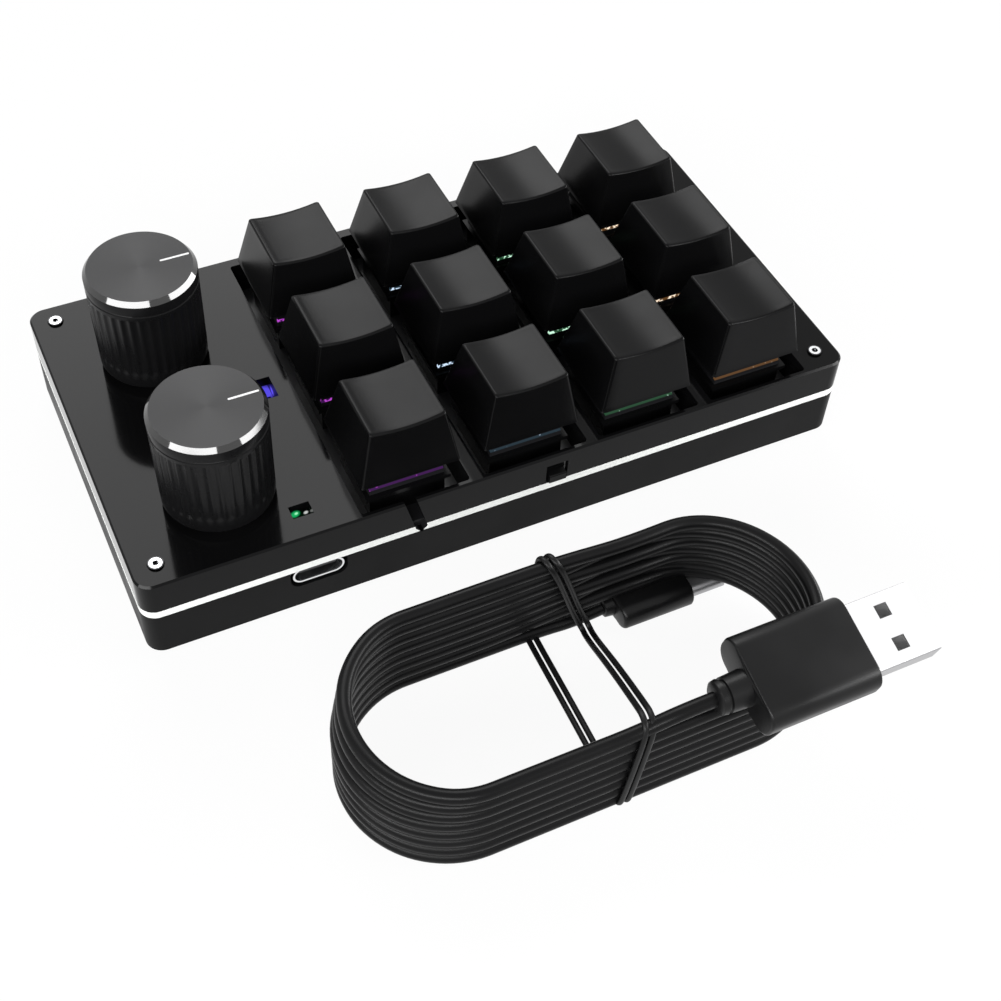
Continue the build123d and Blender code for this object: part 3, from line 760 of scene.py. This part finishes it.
@dataclass
class Studio:
    """Camera, pale floor and soft light."""

    lamps: tuple[Softbox, ...] = (
        Softbox("strip_left", heading(-95, 17.5), heading(-175, 27.5), 0.175, 14.0),
        Softbox("strip_right", heading(143, 23.5), heading(76, 3.5), 0.165, 14.0),
        Softbox("panel_back", heading(-20, 46), heading(34, 46), 0.55, 5.1, 1.3, (0.0, 0.0, 0.03)),
    )
    eye: Vec = (-0.08594, -0.19175, 0.21968)
    turn: float = 27.857
    tilt: float = 49.547
    roll: float = 3.471
    focal_px: float = 1555.17
    frame_px: float = 1001.0
    sensor: float = 36.0
    clip: Pair = (0.01, 20.0)
    rays: tuple[str, str, str] = ("Camera", "Glossy", "Transmission")
    world_level: float = 0.15
    floor_half: float = 6.0
    floor_level: float = -0.0002
    floor_grey: float = 0.86
    floor_share: float = 0.94

    def camera(self) -> None:
        """Camera that looks along the turn and tilt, rolled about its own axis."""
        data = bpy.data.cameras.new("camera")
        data.sensor_width = self.sensor
        data.lens = self.sensor * self.focal_px / self.frame_px
        data.clip_start, data.clip_end = self.clip
        bpy.context.scene.camera = made = add("camera", data)
        spin = Matrix.Rotation(-math.radians(self.turn), 4, "Z")
        nod = Matrix.Rotation(math.radians(90 - self.tilt), 4, "X")
        lean = Matrix.Rotation(math.radians(self.roll), 4, "Z")
        made.matrix_world = Matrix.Translation(self.eye) @ spin @ nod @ lean

    def seen(self, bench: NodeBench) -> Socket:
        """1 for rays from the camera and for mirror and glass rays, else 0."""
        eye, mirror, glass = (bench.node("LightPath").outputs[f"Is {k} Ray"] for k in self.rays)
        return bench.maths("MAXIMUM", bench.maths("MAXIMUM", eye, mirror), glass)

    def world(self) -> None:
        """Dim fill light, and a plain white background."""
        bpy.context.scene.world = world = bpy.data.worlds.new("surroundings")
        world.use_nodes = True
        world.node_tree.nodes.clear()
        bench = NodeBench(world.node_tree)
        soft, white = (
            bench.node("Background", {"Color": (1, 1, 1, 1), "Strength": level}).outputs[0]
            for level in (self.world_level, 1.0)
        )
        mix = bench.node("MixShader", {0: self.seen(bench), 1: soft, 2: white})
        bench.node("OutputWorld", {"Surface": mix.outputs[0]})

    def floor(self) -> None:
        """Large pale floor that stays white and keeps a faint shadow."""
        mesh = bpy.data.meshes.new("floor")
        half, grey = self.floor_half, self.floor_grey
        corners = [(-half, -half), (half, -half), (half, half), (-half, half)]
        mesh.from_pydata([(x, y, self.floor_level) for x, y in corners], [], [(0, 1, 2, 3)])
        material = bpy.data.materials.new("floor_white")
        material.use_nodes = True
        bench = NodeBench(material.node_tree)
        bench.coat(Base_Color=(grey, grey, grey, 1), Roughness=0.9, Specular_IOR_Level=0.1)
        glow = bench.node("Emission", {"Color": (1, 1, 1, 1), "Strength": 1.0}).outputs[0]
        share = bench.maths("MULTIPLY", self.seen(bench), self.floor_share)
        matt = bench.tree.nodes["Principled BSDF"].outputs[0]
        mix = bench.node("MixShader", {0: share, 1: matt, 2: glow})
        bench.fill(bench.tree.nodes["Material Output"], {"Surface": mix.outputs[0]})
        mesh.materials.append(material)
        add("floor", mesh)

    def lamp(self, box: Softbox) -> None:
        """Rectangular lamp that faces its aim.

        Args:
            box: the lamp's ends, width and level.
        """
        ends = np.array([box.start, box.end]) * box.distance
        middle, span = ends.mean(axis=0), float(np.linalg.norm(ends[1] - ends[0]))
        along, back = (ends[1] - ends[0]) / span, middle / np.linalg.norm(middle)
        data = bpy.data.lights.new(box.name, "AREA")
        data.shape = "RECTANGLE"
        data.size, data.size_y = span, box.width
        data.energy = box.radiance * math.pi * span * box.width
        made = add(box.name, data)
        turn = Matrix(np.stack([along, np.cross(back, along), back], axis=1).tolist()).to_4x4()
        made.matrix_world = Matrix.Translation((middle + np.array(box.aim)).tolist()) @ turn
        made.visible_camera = False

    def build(self) -> None:
        """Set the whole studio up."""
        bpy.context.scene.view_settings.view_transform = "Standard"
        self.camera()
        self.world()
        self.floor()
        for box in self.lamps:
            self.lamp(box)


# ---- plugs ----
@dataclass(frozen=True)
class PlugGrip:
    """Moulded grip as a loft of rounded rectangles along X, with its round neck."""

    name: str
    node: str
    neck: tuple[Pair, ...]
    start: float
    half: Pair
    corner: float
    soft: float
    soft_steps: int
    tail: tuple[Pair, ...]
    y: float
    z: float
    roll: float = 0.0
    thin: float = 0.01

    def stations(self) -> Array:
        """Sections of the neck, the rounded shoulder and the grip's end.

        The shoulder is inset by soft * (1 - sin a) at soft * (1 - cos a) past its start.

        Returns:
            K x 4 array of place along X, half width, half height and corner radius.
        """
        neck = [(x, r, r, r - self.thin) for x, r in self.neck]
        turn = np.radians(np.linspace(0, 90, self.soft_steps))
        places = self.start + self.soft * (1 - np.cos(turn))
        shoulder = zip(places, self.soft * (1 - np.sin(turn)))
        size = np.array([*self.half, self.corner])
        return np.array(neck + [(x, *(size - inset)) for x, inset in (*shoulder, *self.tail)])

    def surface(self) -> Surface:
        """Loft over the stations, rolled about X and moved to the grip's axis.

        Returns:
            The surface.
        """
        table = self.stations()
        wide, tall = np.moveaxis(rounded(table[:, 1:3], table[:, 3], 8, 3), -1, 0)
        cos, sin = math.cos(math.radians(self.roll)), math.sin(math.radians(self.roll))
        along = np.repeat(table[:, :1], wide.shape[1], axis=1)
        y, z = wide * cos - tall * sin + self.y, wide * sin + tall * cos + self.z
        made = Surface(self.name)
        made.grid(np.stack([along, y, z], axis=-1), lids=True)
        return made


@dataclass
class Plugs:
    """The grip of the long plug on top of the turns and that of the small one on the desk."""

    grips: tuple[PlugGrip, ...] = (
        PlugGrip(
            "long_grip", "usb_a_plug_grip",
            neck=(
                (6.0, 2.3), (6.35, 2.75), (7.1, 2.9), (7.25, 2.55), (7.65, 2.55),
                (7.8, 2.9), (10.6, 3.05), (11.2, 3.1),
            ),
            start=11.5, half=(8.0, 3.6), corner=2.9, soft=0.45, soft_steps=7,
            tail=((31.1, 0.0), (31.38, 0.1), (31.5, 0.35)), y=-91.2, z=21.6, roll=15.0,
        ),
        PlugGrip(
            "small_grip", "usb_c_plug_grip", neck=((6.2, 1.5), (6.4, 1.8), (8.0, 1.95)),
            start=8.2, half=(5.2, 2.5), corner=2.35, soft=0.7, soft_steps=6,
            tail=((21.6, 0.0), (21.9, 0.2), (22.0, 0.4)), y=-57.2, z=2.65,
        ),
    )

    def build(self, palette: Palette) -> None:
        """Both grips, dressed from the palette."""
        for grip in self.grips:
            seat(grip.surface().build([palette["grip_black"]], 40), "case", [grip.node])


# ---- tie ----
@dataclass
class Tie:
    """Doubled strand, slanted round the turns."""

    strand: float = 1.05
    thickness: float = 0.8
    gap: float = 0.28
    round_steps: int = 16
    span_steps: int = 6
    route: tuple[Vec, ...] = (
        (-5.2, -54.4, 10.0), (-5.2, -54.4, 18.6), (-4.9, -55.2, 20.5), (-4.5, -57.4, 20.4),
        (-3.0, -58.2, 17.0), (0.5, -58.3, 6.0), (2.0, -59.2, 2.2), (1.6, -62.0, 2.6),
        (-1.0, -73.5, 11.0), (-4.2, -87.0, 20.2), (-4.6, -89.2, 21.2), (-5.0, -91.4, 20.6),
        (-6.0, -92.1, 16.0), (-7.6, -92.1, 3.0), (-7.8, -91.6, 0.5), (-7.6, -88.0, 0.45),
        (-7.2, -72.0, 0.45), (-7.0, -57.5, 0.45), (-6.8, -54.6, 0.6), (-6.2, -54.4, 3.0),
    )

    def surface(self) -> Surface:
        """Two ellipses carried along the closed route, side by side as near X as they can.

        A point is the line's point + u * wide + v * out, where (u, v) is a point of the
        ellipse, wide is X less its share along the line, and out is square to both.

        Returns:
            The surface.
        """
        line = quadratic(np.array(self.route), self.span_steps, closed=True)
        ahead = np.roll(line, -1, axis=0) - np.roll(line, 1, axis=0)
        ahead /= np.linalg.norm(ahead, axis=1, keepdims=True)
        wide = np.array([1.0, 0, 0]) - ahead[:, :1] * ahead
        wide /= np.linalg.norm(wide, axis=1, keepdims=True)
        out = np.cross(ahead, wide)
        turn = np.linspace(0, 2 * np.pi, self.round_steps, endpoint=False)[:, None]
        v = self.thickness / 2 * np.sin(turn)
        made = Surface("tie")
        for side in (-1, 1):
            u = side * (self.strand + self.gap) / 2 + self.strand / 2 * np.cos(turn)
            made.grid(line[:, None] + u * wide[:, None] + v * out[:, None], ring=True)
        return made

    def build(self, palette: Palette) -> None:
        """The doubled strand in place of the plain band."""
        made = self.surface().build([palette["tie_black"]], 30)
        seat(made, "case", ["cable_tie"])


# ---- cable ----
@dataclass
class Cable:
    """Round cable: from the small plug through the wound turns to the long plug."""

    diameter: float = 2.5
    middle_x: float = -6.6
    middle_y: float = -73.3
    straight: float = 47.6
    radius: float = 17.0
    layers: int = 8
    bend_points: int = 6
    lean_from: int = 4
    lean_step: float = 0.5
    over_side: float = 0.72
    over_low: float = 6.4
    over_step: float = 2.05
    early_rise: float = 0.75
    head: tuple[Vec, ...] = ((6.2, -57.2, 2.65), (1.0, -57.2, 1.9), (-5.0, -56.3, 1.25))
    tail: tuple[Vec, ...] = (
        (-16.0, -90.3, 18.75), (-6.5, -90.3, 18.75), (0.0, -91.2, 21.6), (6.0, -91.2, 21.6),
    )

    def bend(self, x: float, start: float, low: float, high: float, inset: float = 0.0) -> Array:
        """Control points of a half turn, a little outside the strand's own circle.

        Point k is the middle + (reach - lean) * (cos a, sin a), where a starts half a step
        in, and lean is inset * sin over the half turn.

        Args:
            x: middle of the bend along X.
            start: angle of its first end in degrees, going anticlockwise.
            low: height at its start.
            high: height at its end.
            inset: how far the strand leans inwards at the middle of the bend.

        Returns:
            N x 3 array.
        """
        step = 180 / self.bend_points
        turn = np.radians(start + step / 2 + step * np.arange(self.bend_points))
        lean = inset * np.sin(np.linspace(0, np.pi, self.bend_points))
        reach = self.radius / math.cos(math.radians(step / 2)) - lean
        height = np.linspace(low, high, self.bend_points)
        places = [x + reach * np.cos(turn), self.middle_y + reach * np.sin(turn), height]
        return np.stack(places, axis=-1)

    def wind(self, layer: int) -> list[Array]:
        """One turn: back run, left bend, front run, right bend and the rise over the plug.

        Args:
            layer: number of the turn, from 0 at the desk.

        Returns:
            Its control points, in their order. The last turn ends after the left bend.
        """
        lead = self.radius * math.tan(math.radians(90 / self.bend_points))
        left, right = (self.middle_x + side * self.straight / 2 for side in (-1, 1))
        back, front = self.middle_y + self.radius, self.middle_y - self.radius
        level = self.diameter * (layer + 0.5)
        inset = max(0, layer - self.lean_from) * self.lean_step
        side = back + (self.over_side if layer % 2 else -self.over_side)
        high = self.over_low + self.over_step * layer
        rise = level + self.early_rise * (high - level)
        turn = [
            np.array([[-15.0, back, level], [left + lead, back, level]]),
            self.bend(left, 90, level, level, inset),
            np.array([[left + lead, front, level]]),
            np.array([[x, front, level] for x in (-8.0, 4.0, right - lead)]),
            self.bend(right, -90, level, rise),
            np.array([[right - lead, side, high], [7.0, side, high]]),
            np.array([[-3.0, back, (high + level + self.diameter) / 2]]),
        ]
        return turn[:3] if layer == self.layers - 1 else turn

    def route(self) -> Array:
        """Control points of the whole cable in millimetres, from the small plug, as N x 3."""
        turns = [points for layer in range(self.layers) for points in self.wind(layer)]
        return np.concatenate([np.array(self.head), *turns, np.array(self.tail)])

    def spline(self, finish: Material) -> Item:
        """The cable as one round curve.

        Args:
            finish: its material.

        Returns:
            The curve object.
        """
        route = self.route() * MM
        data = bpy.data.curves.new("cable", "CURVE")
        data.dimensions = "3D"
        data.bevel_depth = self.diameter / 2 * MM
        data.bevel_resolution = 5
        data.use_fill_caps = True
        data.resolution_u = 8
        line = data.splines.new("NURBS")
        line.points.add(len(route) - 1)
        flat = np.concatenate([route, np.ones((len(route), 1))], axis=1)
        line.points.foreach_set("co", flat.ravel())
        line.order_u = 3
        line.use_endpoint_u = True
        data.materials.append(finish)
        return add("cable", data)

    def length(self) -> float:
        """Length of the smooth line.

        Returns:
            The length in metres.
        """
        route = self.route()
        ends = [2 * route[:1] - route[1:2], route, 2 * route[-1:] - route[-2:-1]]
        line = quadratic(np.concatenate(ends), 12)
        return float(np.linalg.norm(np.diff(line, axis=0), axis=1).sum()) * MM

    def build(self, palette: Palette) -> None:
        """Cable, and a log of its length.

        Args:
            palette: the finishes.
        """
        cable = self.spline(palette["cable_black"])
        seat(cable, "case", ["cable_coil", "cable_tail"])
        round(self.length(), 3)
        log.info("cable of %.3f m in %d layers", self.length(), self.layers)


# ---- keys ----
@dataclass
class Keycap:
    """Tall cap: tapered walls, a dish along Y, soft rim, hollow with a post."""

    base: Pair = (18.1, 18.1)
    head: Pair = (13.8, 14.1)
    height: float = 11.35
    lean: float = -0.76
    radii: Pair = (0.5, 0.55)
    dish: float = 0.7
    rim: float = 0.45
    rim_rows: int = 6
    wall: float = 1.3
    wall_start: float = 0.015
    wall_rows: int = 12
    bowl_rows: int = 11
    roof: float = 1.5
    inner_radii: Pair = (0.8, 0.5)
    chamfer: float = 0.12
    post_radius: float = 2.75
    post_start: float = 1.6
    post_chamfer: float = 0.2
    post_sink: float = 0.3

    def rows(self, share: Array, height: Array, less: Array | float, radius: Array) -> Array:
        """Rounded rectangles across the tapered cap.

        Half sizes and the middle's lean go straight from the foot's to the head's with
        the share, and a wall comes off.

        Args:
            share: K shares of the way from the foot to the head.
            height: K heights.
            less: wall to take off, one for all or one for each row.
            radius: K corner radii.

        Returns:
            K x N x 3 array.
        """
        foot, head = np.array(self.base) / 2, np.array(self.head) / 2
        half = foot + (head - foot) * share[:, None] - np.reshape(less, (-1, 1))
        ring = rounded(half, radius, 6, 8)
        ring[..., 1] += (self.lean * share)[:, None]
        tall = np.repeat(height[:, None], ring.shape[1], axis=1)
        return np.concatenate([ring, tall[..., None]], axis=-1)

    def dished(self, x: Array) -> Array:
        """Height of the dish's round bottom at distances from the middle along X."""
        bowl = ((self.head[0] / 2) ** 2 + self.dish**2) / (2 * self.dish)
        return self.height - self.dish + bowl - np.sqrt(bowl**2 - x**2)

    def narrow(self, row: Array, share: float, scale: Array) -> Array:
        """Copies of an N x 3 row scaled about the cap's middle at this share of the way."""
        factor = np.stack([scale, scale, np.ones_like(scale)], axis=-1)[:, None]
        return (row - [0, self.lean * share, 0]) * factor + [0, self.lean * share, 0]

    def inside(self, top: float) -> Array:
        """Rows of the hollow: ceiling from its middle outwards, then down to the foot.

        Args:
            top: height of the ceiling.

        Returns:
            K x N x 3 array.
        """
        share = np.linspace(top / self.height, 0, 5)
        radii = np.append(self.inner_radii[0], np.linspace(*self.inner_radii, 4))
        wall = self.rows(share, share * self.height, self.wall, radii)
        ceiling = self.narrow(wall[0], share[0], np.array([HUB, 0.5, 1.0]))
        return np.concatenate([ceiling, wall[1:]])

    def outside(self) -> Array:
        """Rows of the foot's edge, the wall, the rounded rim and the dish.

        Rows on the wall end below the dish's height above their own point, so the rim
        follows the dish. The rim is a quarter circle, and the dish's rows shrink to a hub.

        Returns:
            K x N x 3 array.
        """
        cut = np.array([0.0, self.chamfer])
        low, high = self.radii
        edge = self.rows(np.zeros(2), cut, cut[::-1], np.array([self.inner_radii[0], low]))
        share = np.linspace(self.wall_start, 1, self.wall_rows)
        wall = self.rows(share, share, 0.0, low + (high - low) * share)
        brim = self.dished(wall[-1, :, 0]) - self.rim
        wall[..., 2] = share[:, None] * brim
        turn = np.linspace(0, np.pi / 2, self.rim_rows + 1)[1:]
        inset = self.rim * (1 - np.cos(turn)) / (sum(self.head) / 4)
        bead = self.narrow(wall[-1], 1, 1 - inset)
        bead[..., 2] = brim + self.rim * np.sin(turn)[:, None]
        bowl = self.narrow(bead[-1], 1, np.linspace(1, HUB, self.bowl_rows + 1)[1:])
        bowl[..., 2] = self.dished(bowl[..., 0])
        return np.concatenate([edge, wall, bead, bowl])

    def surface(self, name: str, place: Vec) -> Surface:
        """Closed cap with its post: down the inside, up the outside and in over the dish.

        Args:
            name: the piece's name.
            place: middle of the cap's foot.

        Returns:
            The surface.
        """
        top = self.height - self.dish - self.roof
        start, cut, radius = self.post_start, self.post_chamfer, self.post_radius
        post = [[radius - cut, start], [radius, start + cut], [radius, top + self.post_sink]]
        made = Surface(name)
        made.grid(np.concatenate([self.inside(top), self.outside()]) + place, lids=True)
        made.grid(lathe(np.array(post), 32) + place, lids=True)
        return made


@dataclass
class KeyField:
    """Twelve caps on their switches."""

    pitch: float = 22.6
    last_column: float = 48.95
    middle_row: float = -0.8
    cap_bottom: float = 22.8
    columns: int = 4
    rows: int = 3
    cap: Keycap = field(default_factory=Keycap)

    def places(self) -> list[Vec]:
        """Middles of the caps' feet, row by row from the back left."""
        xs = [self.last_column - i * self.pitch for i in reversed(range(self.columns))]
        ys = [self.middle_row + (1 - j) * self.pitch for j in range(self.rows)]
        return [(x, y, self.cap_bottom) for y in ys for x in xs]

    def build(self, palette: Palette) -> None:
        """Every cap, each on the body of its own key.

        Args:
            palette: the finishes.
        """
        for number, place in enumerate(self.places(), 1):
            cap = self.cap.surface(f"cap_{number:02d}", place).build([palette["cap_black"]], 50)
            seat(cap, f"key_{number:02d}", [f"keycap_{number:02d}"])


# ---- knobs ----
@dataclass
class Knob:
    """Turned cup with flutes, a bright cut bevel, a spun crown and a painted line."""

    bottom: float = 20.6
    top: float = 40.56
    radius: float = 9.8
    foot_radius: float = 9.6
    bore: float = 8.0
    roof: float = 1.5
    bevel_width: float = 0.7
    bevel_height: float = 0.9
    bevel_step: float = 0.03
    bevel_hold: float = 0.06
    flutes: int = 36
    flute_steps: int = 8
    flute_depth: float = 0.26
    flute_share: float = 0.78
    flute_power: float = 0.7
    flute_start: tuple[Pair, ...] = ((0.15, 0.3), (0.45, 0.75), (0.9, 1))
    flute_end: tuple[Pair, ...] = ((-0.4, 1), (-0.05, 0.75), (0.05, 0))
    foot_band: float = 2.7
    head_band: float = 3.9
    groove: float = 0.16
    groove_above: float = 0.7
    crown_ring: float = 5.0
    middle: float = 0.05
    line_span: Pair = (3.6, 8.8)
    line_width: float = 0.42
    line_soft: float = 0.03
    line_levels: Vec = (-0.05, 0.02, 0.04)

    def wave(self, turn: Array) -> Array:
        """Flute depth between 0 and 1 at angles: flat lands and rounded hollows."""
        phase = np.abs((turn * self.flutes / (2 * np.pi)) % 1 - 0.5) * 2
        return np.clip(1 - (phase / self.flute_share) ** 2, 0, None) ** self.flute_power

    def side(self, z: float, inset: float = 0.0) -> Pair:
        """Radius and height on the tapered side, or inset from it."""
        slope = (self.radius - self.foot_radius) / (self.top - self.bottom)
        return self.foot_radius + slope * (z - self.bottom) - inset, z

    def bevel(self, share: float) -> Pair:
        """Radius and height at a share of the way up the bevel."""
        out = self.radius - self.bevel_step - (self.bevel_width - self.bevel_step) * share
        return out, self.top - self.bevel_height * (1 - share)

    def profile(self) -> tuple[Array, Array, Array]:
        """Outline from the bore's ceiling round the foot to the crown's middle.

        Returns:
            Radii and heights, flute depth of each point, and a finish for each step.
        """
        low, high, ceiling = self.bottom, self.top, self.top - self.roof
        start, end = low + self.foot_band, high - self.head_band
        ring, crown = end + self.groove_above, self.radius - self.bevel_width
        groove, foot = self.side(ring, self.groove)[0], self.foot_radius
        parts = (
            (Skin.SIDE, ((self.middle, ceiling), (self.bore, ceiling), (self.bore, low + 0.1))),
            (Skin.SIDE, ((self.bore + 0.1, low), (foot - 0.3, low), (foot - 0.08, low + 0.08))),
            (Skin.SIDE, [self.side(z) for z in (low + 0.3, start - 0.05)]),
            (Skin.SIDE, [(*self.side(start + z), cut) for z, cut in self.flute_start]),
            (Skin.SIDE, [(*self.side(end + z), cut) for z, cut in self.flute_end]),
            (Skin.SIDE, [self.side(ring)]),
            (Skin.CUT, ((groove, ring + 0.12), (groove, ring + 0.28))),
            (Skin.SIDE, [self.side(z) for z in (ring + 0.4, high - self.bevel_height - 0.06)]),
            (Skin.CUT, [self.bevel(share) for share in (0, self.bevel_hold, 1 - self.bevel_hold)]),
            (Skin.CROWN, [(r, high) for r in (crown, crown - 0.05, self.crown_ring, self.middle)]),
        )
        rows = [
            (*row, 0, skin) if len(row) == 2 else (*row, skin)
            for skin, group in parts for row in group
        ]
        table = np.array(rows, float)
        return table[:, :2], table[:, 2] * self.flute_depth, table[:-1, 3].astype(int)

    def crown_map(self, made: Item, place: Pair) -> None:
        """Polar map: U goes round the knob's axis and V out from it, in metres.

        Args:
            made: the cup.
            place: where its axis stands.
        """
        mesh = made.data

        def read(items: Sequence[object], name: str, kind: type, size: int = 1) -> Array:
            """Values of a mesh property."""
            values = np.empty(len(items) * size, kind)
            items.foreach_get(name, values)
            return values

        where = read(mesh.vertices, "co", np.float64, 3).reshape(-1, 3)
        flat = (where[:, :2] - np.array(place) * MM)[read(mesh.loops, "vertex_index", np.int64)]
        around = np.arctan2(flat[:, 1], flat[:, 0]) / (2 * np.pi)
        starts = read(mesh.polygons, "loop_start", np.int64)
        first = np.repeat(around[starts], read(mesh.polygons, "loop_total", np.int64))
        around = around - np.round(around - first)
        uv = np.stack([around, np.hypot(flat[:, 0], flat[:, 1])], -1)
        layer = mesh.uv_layers.new(name="UVMap")
        layer.data.foreach_set("uv", uv.astype(np.float32).ravel())

    def surface(self, name: str, place: Pair) -> Surface:
        """The cup at its place.

        Args:
            name: the piece's name.
            place: where its axis stands.

        Returns:
            The surface.
        """
        outline, depth, slots = self.profile()
        points = lathe(outline, self.flutes * self.flute_steps, self.wave, depth)
        made = Surface(name)
        made.grid(points + [*place, 0], slots=slots, lids=True)
        return made

    def line(self, name: str, place: Pair) -> Surface:
        """Painted line from the crown's middle part to its rim: a very low rounded bar.

        Args:
            name: the piece's name.
            place: where the knob's axis stands.

        Returns:
            The surface.
        """
        start, end = self.line_span
        half = np.array([(end - start) / 2, self.line_width / 2])
        sizes = np.stack([half, half, half - self.line_soft])
        ring = rounded(sizes, np.full(3, half[1] - 0.04), 4, 1)
        tall = np.array(self.line_levels)[:, None, None] + np.zeros((3, ring.shape[1], 1))
        points = np.concatenate([ring, tall], axis=-1)
        made = Surface(name)
        made.grid(points + [place[0] + (start + end) / 2, place[1], self.top], lids=True)
        return made


@dataclass
class KnobPair:
    """Both knobs."""

    places: tuple[Pair, Pair] = ((-49.0, 15.5), (-49.0, -20.5))
    knob: Knob = field(default_factory=Knob)

    def build(self, palette: Palette) -> None:
        """Cup and line of each knob.

        Args:
            palette: the finishes.
        """
        finishes = [palette[name] for name in ("knob_black", "cut_edge", "spun_black")]
        for number, place in enumerate(self.places, 1):
            cup = self.knob.surface(f"knob_{number}_cup", place).build(finishes, 28)
            self.knob.crown_map(cup, place)
            seat(cup, f"knob_{number}", [f"knob_shell_{number}"])
            line = self.knob.line(f"knob_{number}_line", place)
            seat(line.build([palette["white_paint"]]), f"knob_{number}")


# ---- the rest of the frame ----
NODE_FINISHES: dict[str, tuple[str, ...]] = {
    "shell_black": ("lower_shell",),
    "board_laminate": ("circuit_board",),
    "gloss_black": ("top_frame",),
    "screw_steel": ("case_screws",),
    "rubber": ("feet",),
    "key_glow": ("key_lights",),
    "status_glow": ("status_lights",),
    "switch_clear": ("switch_covers",),
    "switch_black": ("switch_bases", "side_button"),
    "stem_plastic": ("switch_stem",),
    "chip_black": (
        "switch_sockets", "board_chips", "encoder_plunger", "knob_core", "usb_port_tongue",
    ),
    "steel": (
        "encoder_bodies", "encoder_washers", "encoder_nuts", "encoder_shaft", "usb_port_shell",
    ),
    "plug_steel": ("usb_a_plug_shell",),
    "plug_insert": ("usb_a_plug_insert",),
    "dull_steel": ("usb_c_plug_shell",),
}


def dress_nodes(nodes: dict[str, Item], palette: Palette) -> None:
    """Give every node that stays its finish, by the start of its name.

    Args:
        nodes: the frame's objects by name.
        palette: the finishes.
    """
    for name, node in nodes.items():
        for finish, starts in NODE_FINISHES.items():
            if name.startswith(starts):
                node.data.materials.clear()
                node.data.materials.append(palette[finish])
                log.info("node %s: %s", name, finish)


def main() -> None:
    """Build the scene."""
    logging.basicConfig(level=logging.INFO, format="%(name)s: %(message)s")
    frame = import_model()
    Studio().build()
    palette = Palette()
    palette.build()
    for parts in (Plugs(), Tie(), Cable()):
        parts.build(palette)
    dress_nodes(frame["nodes"], palette)
    for parts in (KeyField(), KnobPair()):
        parts.build(palette)


if __name__ == "__main__":
    main()
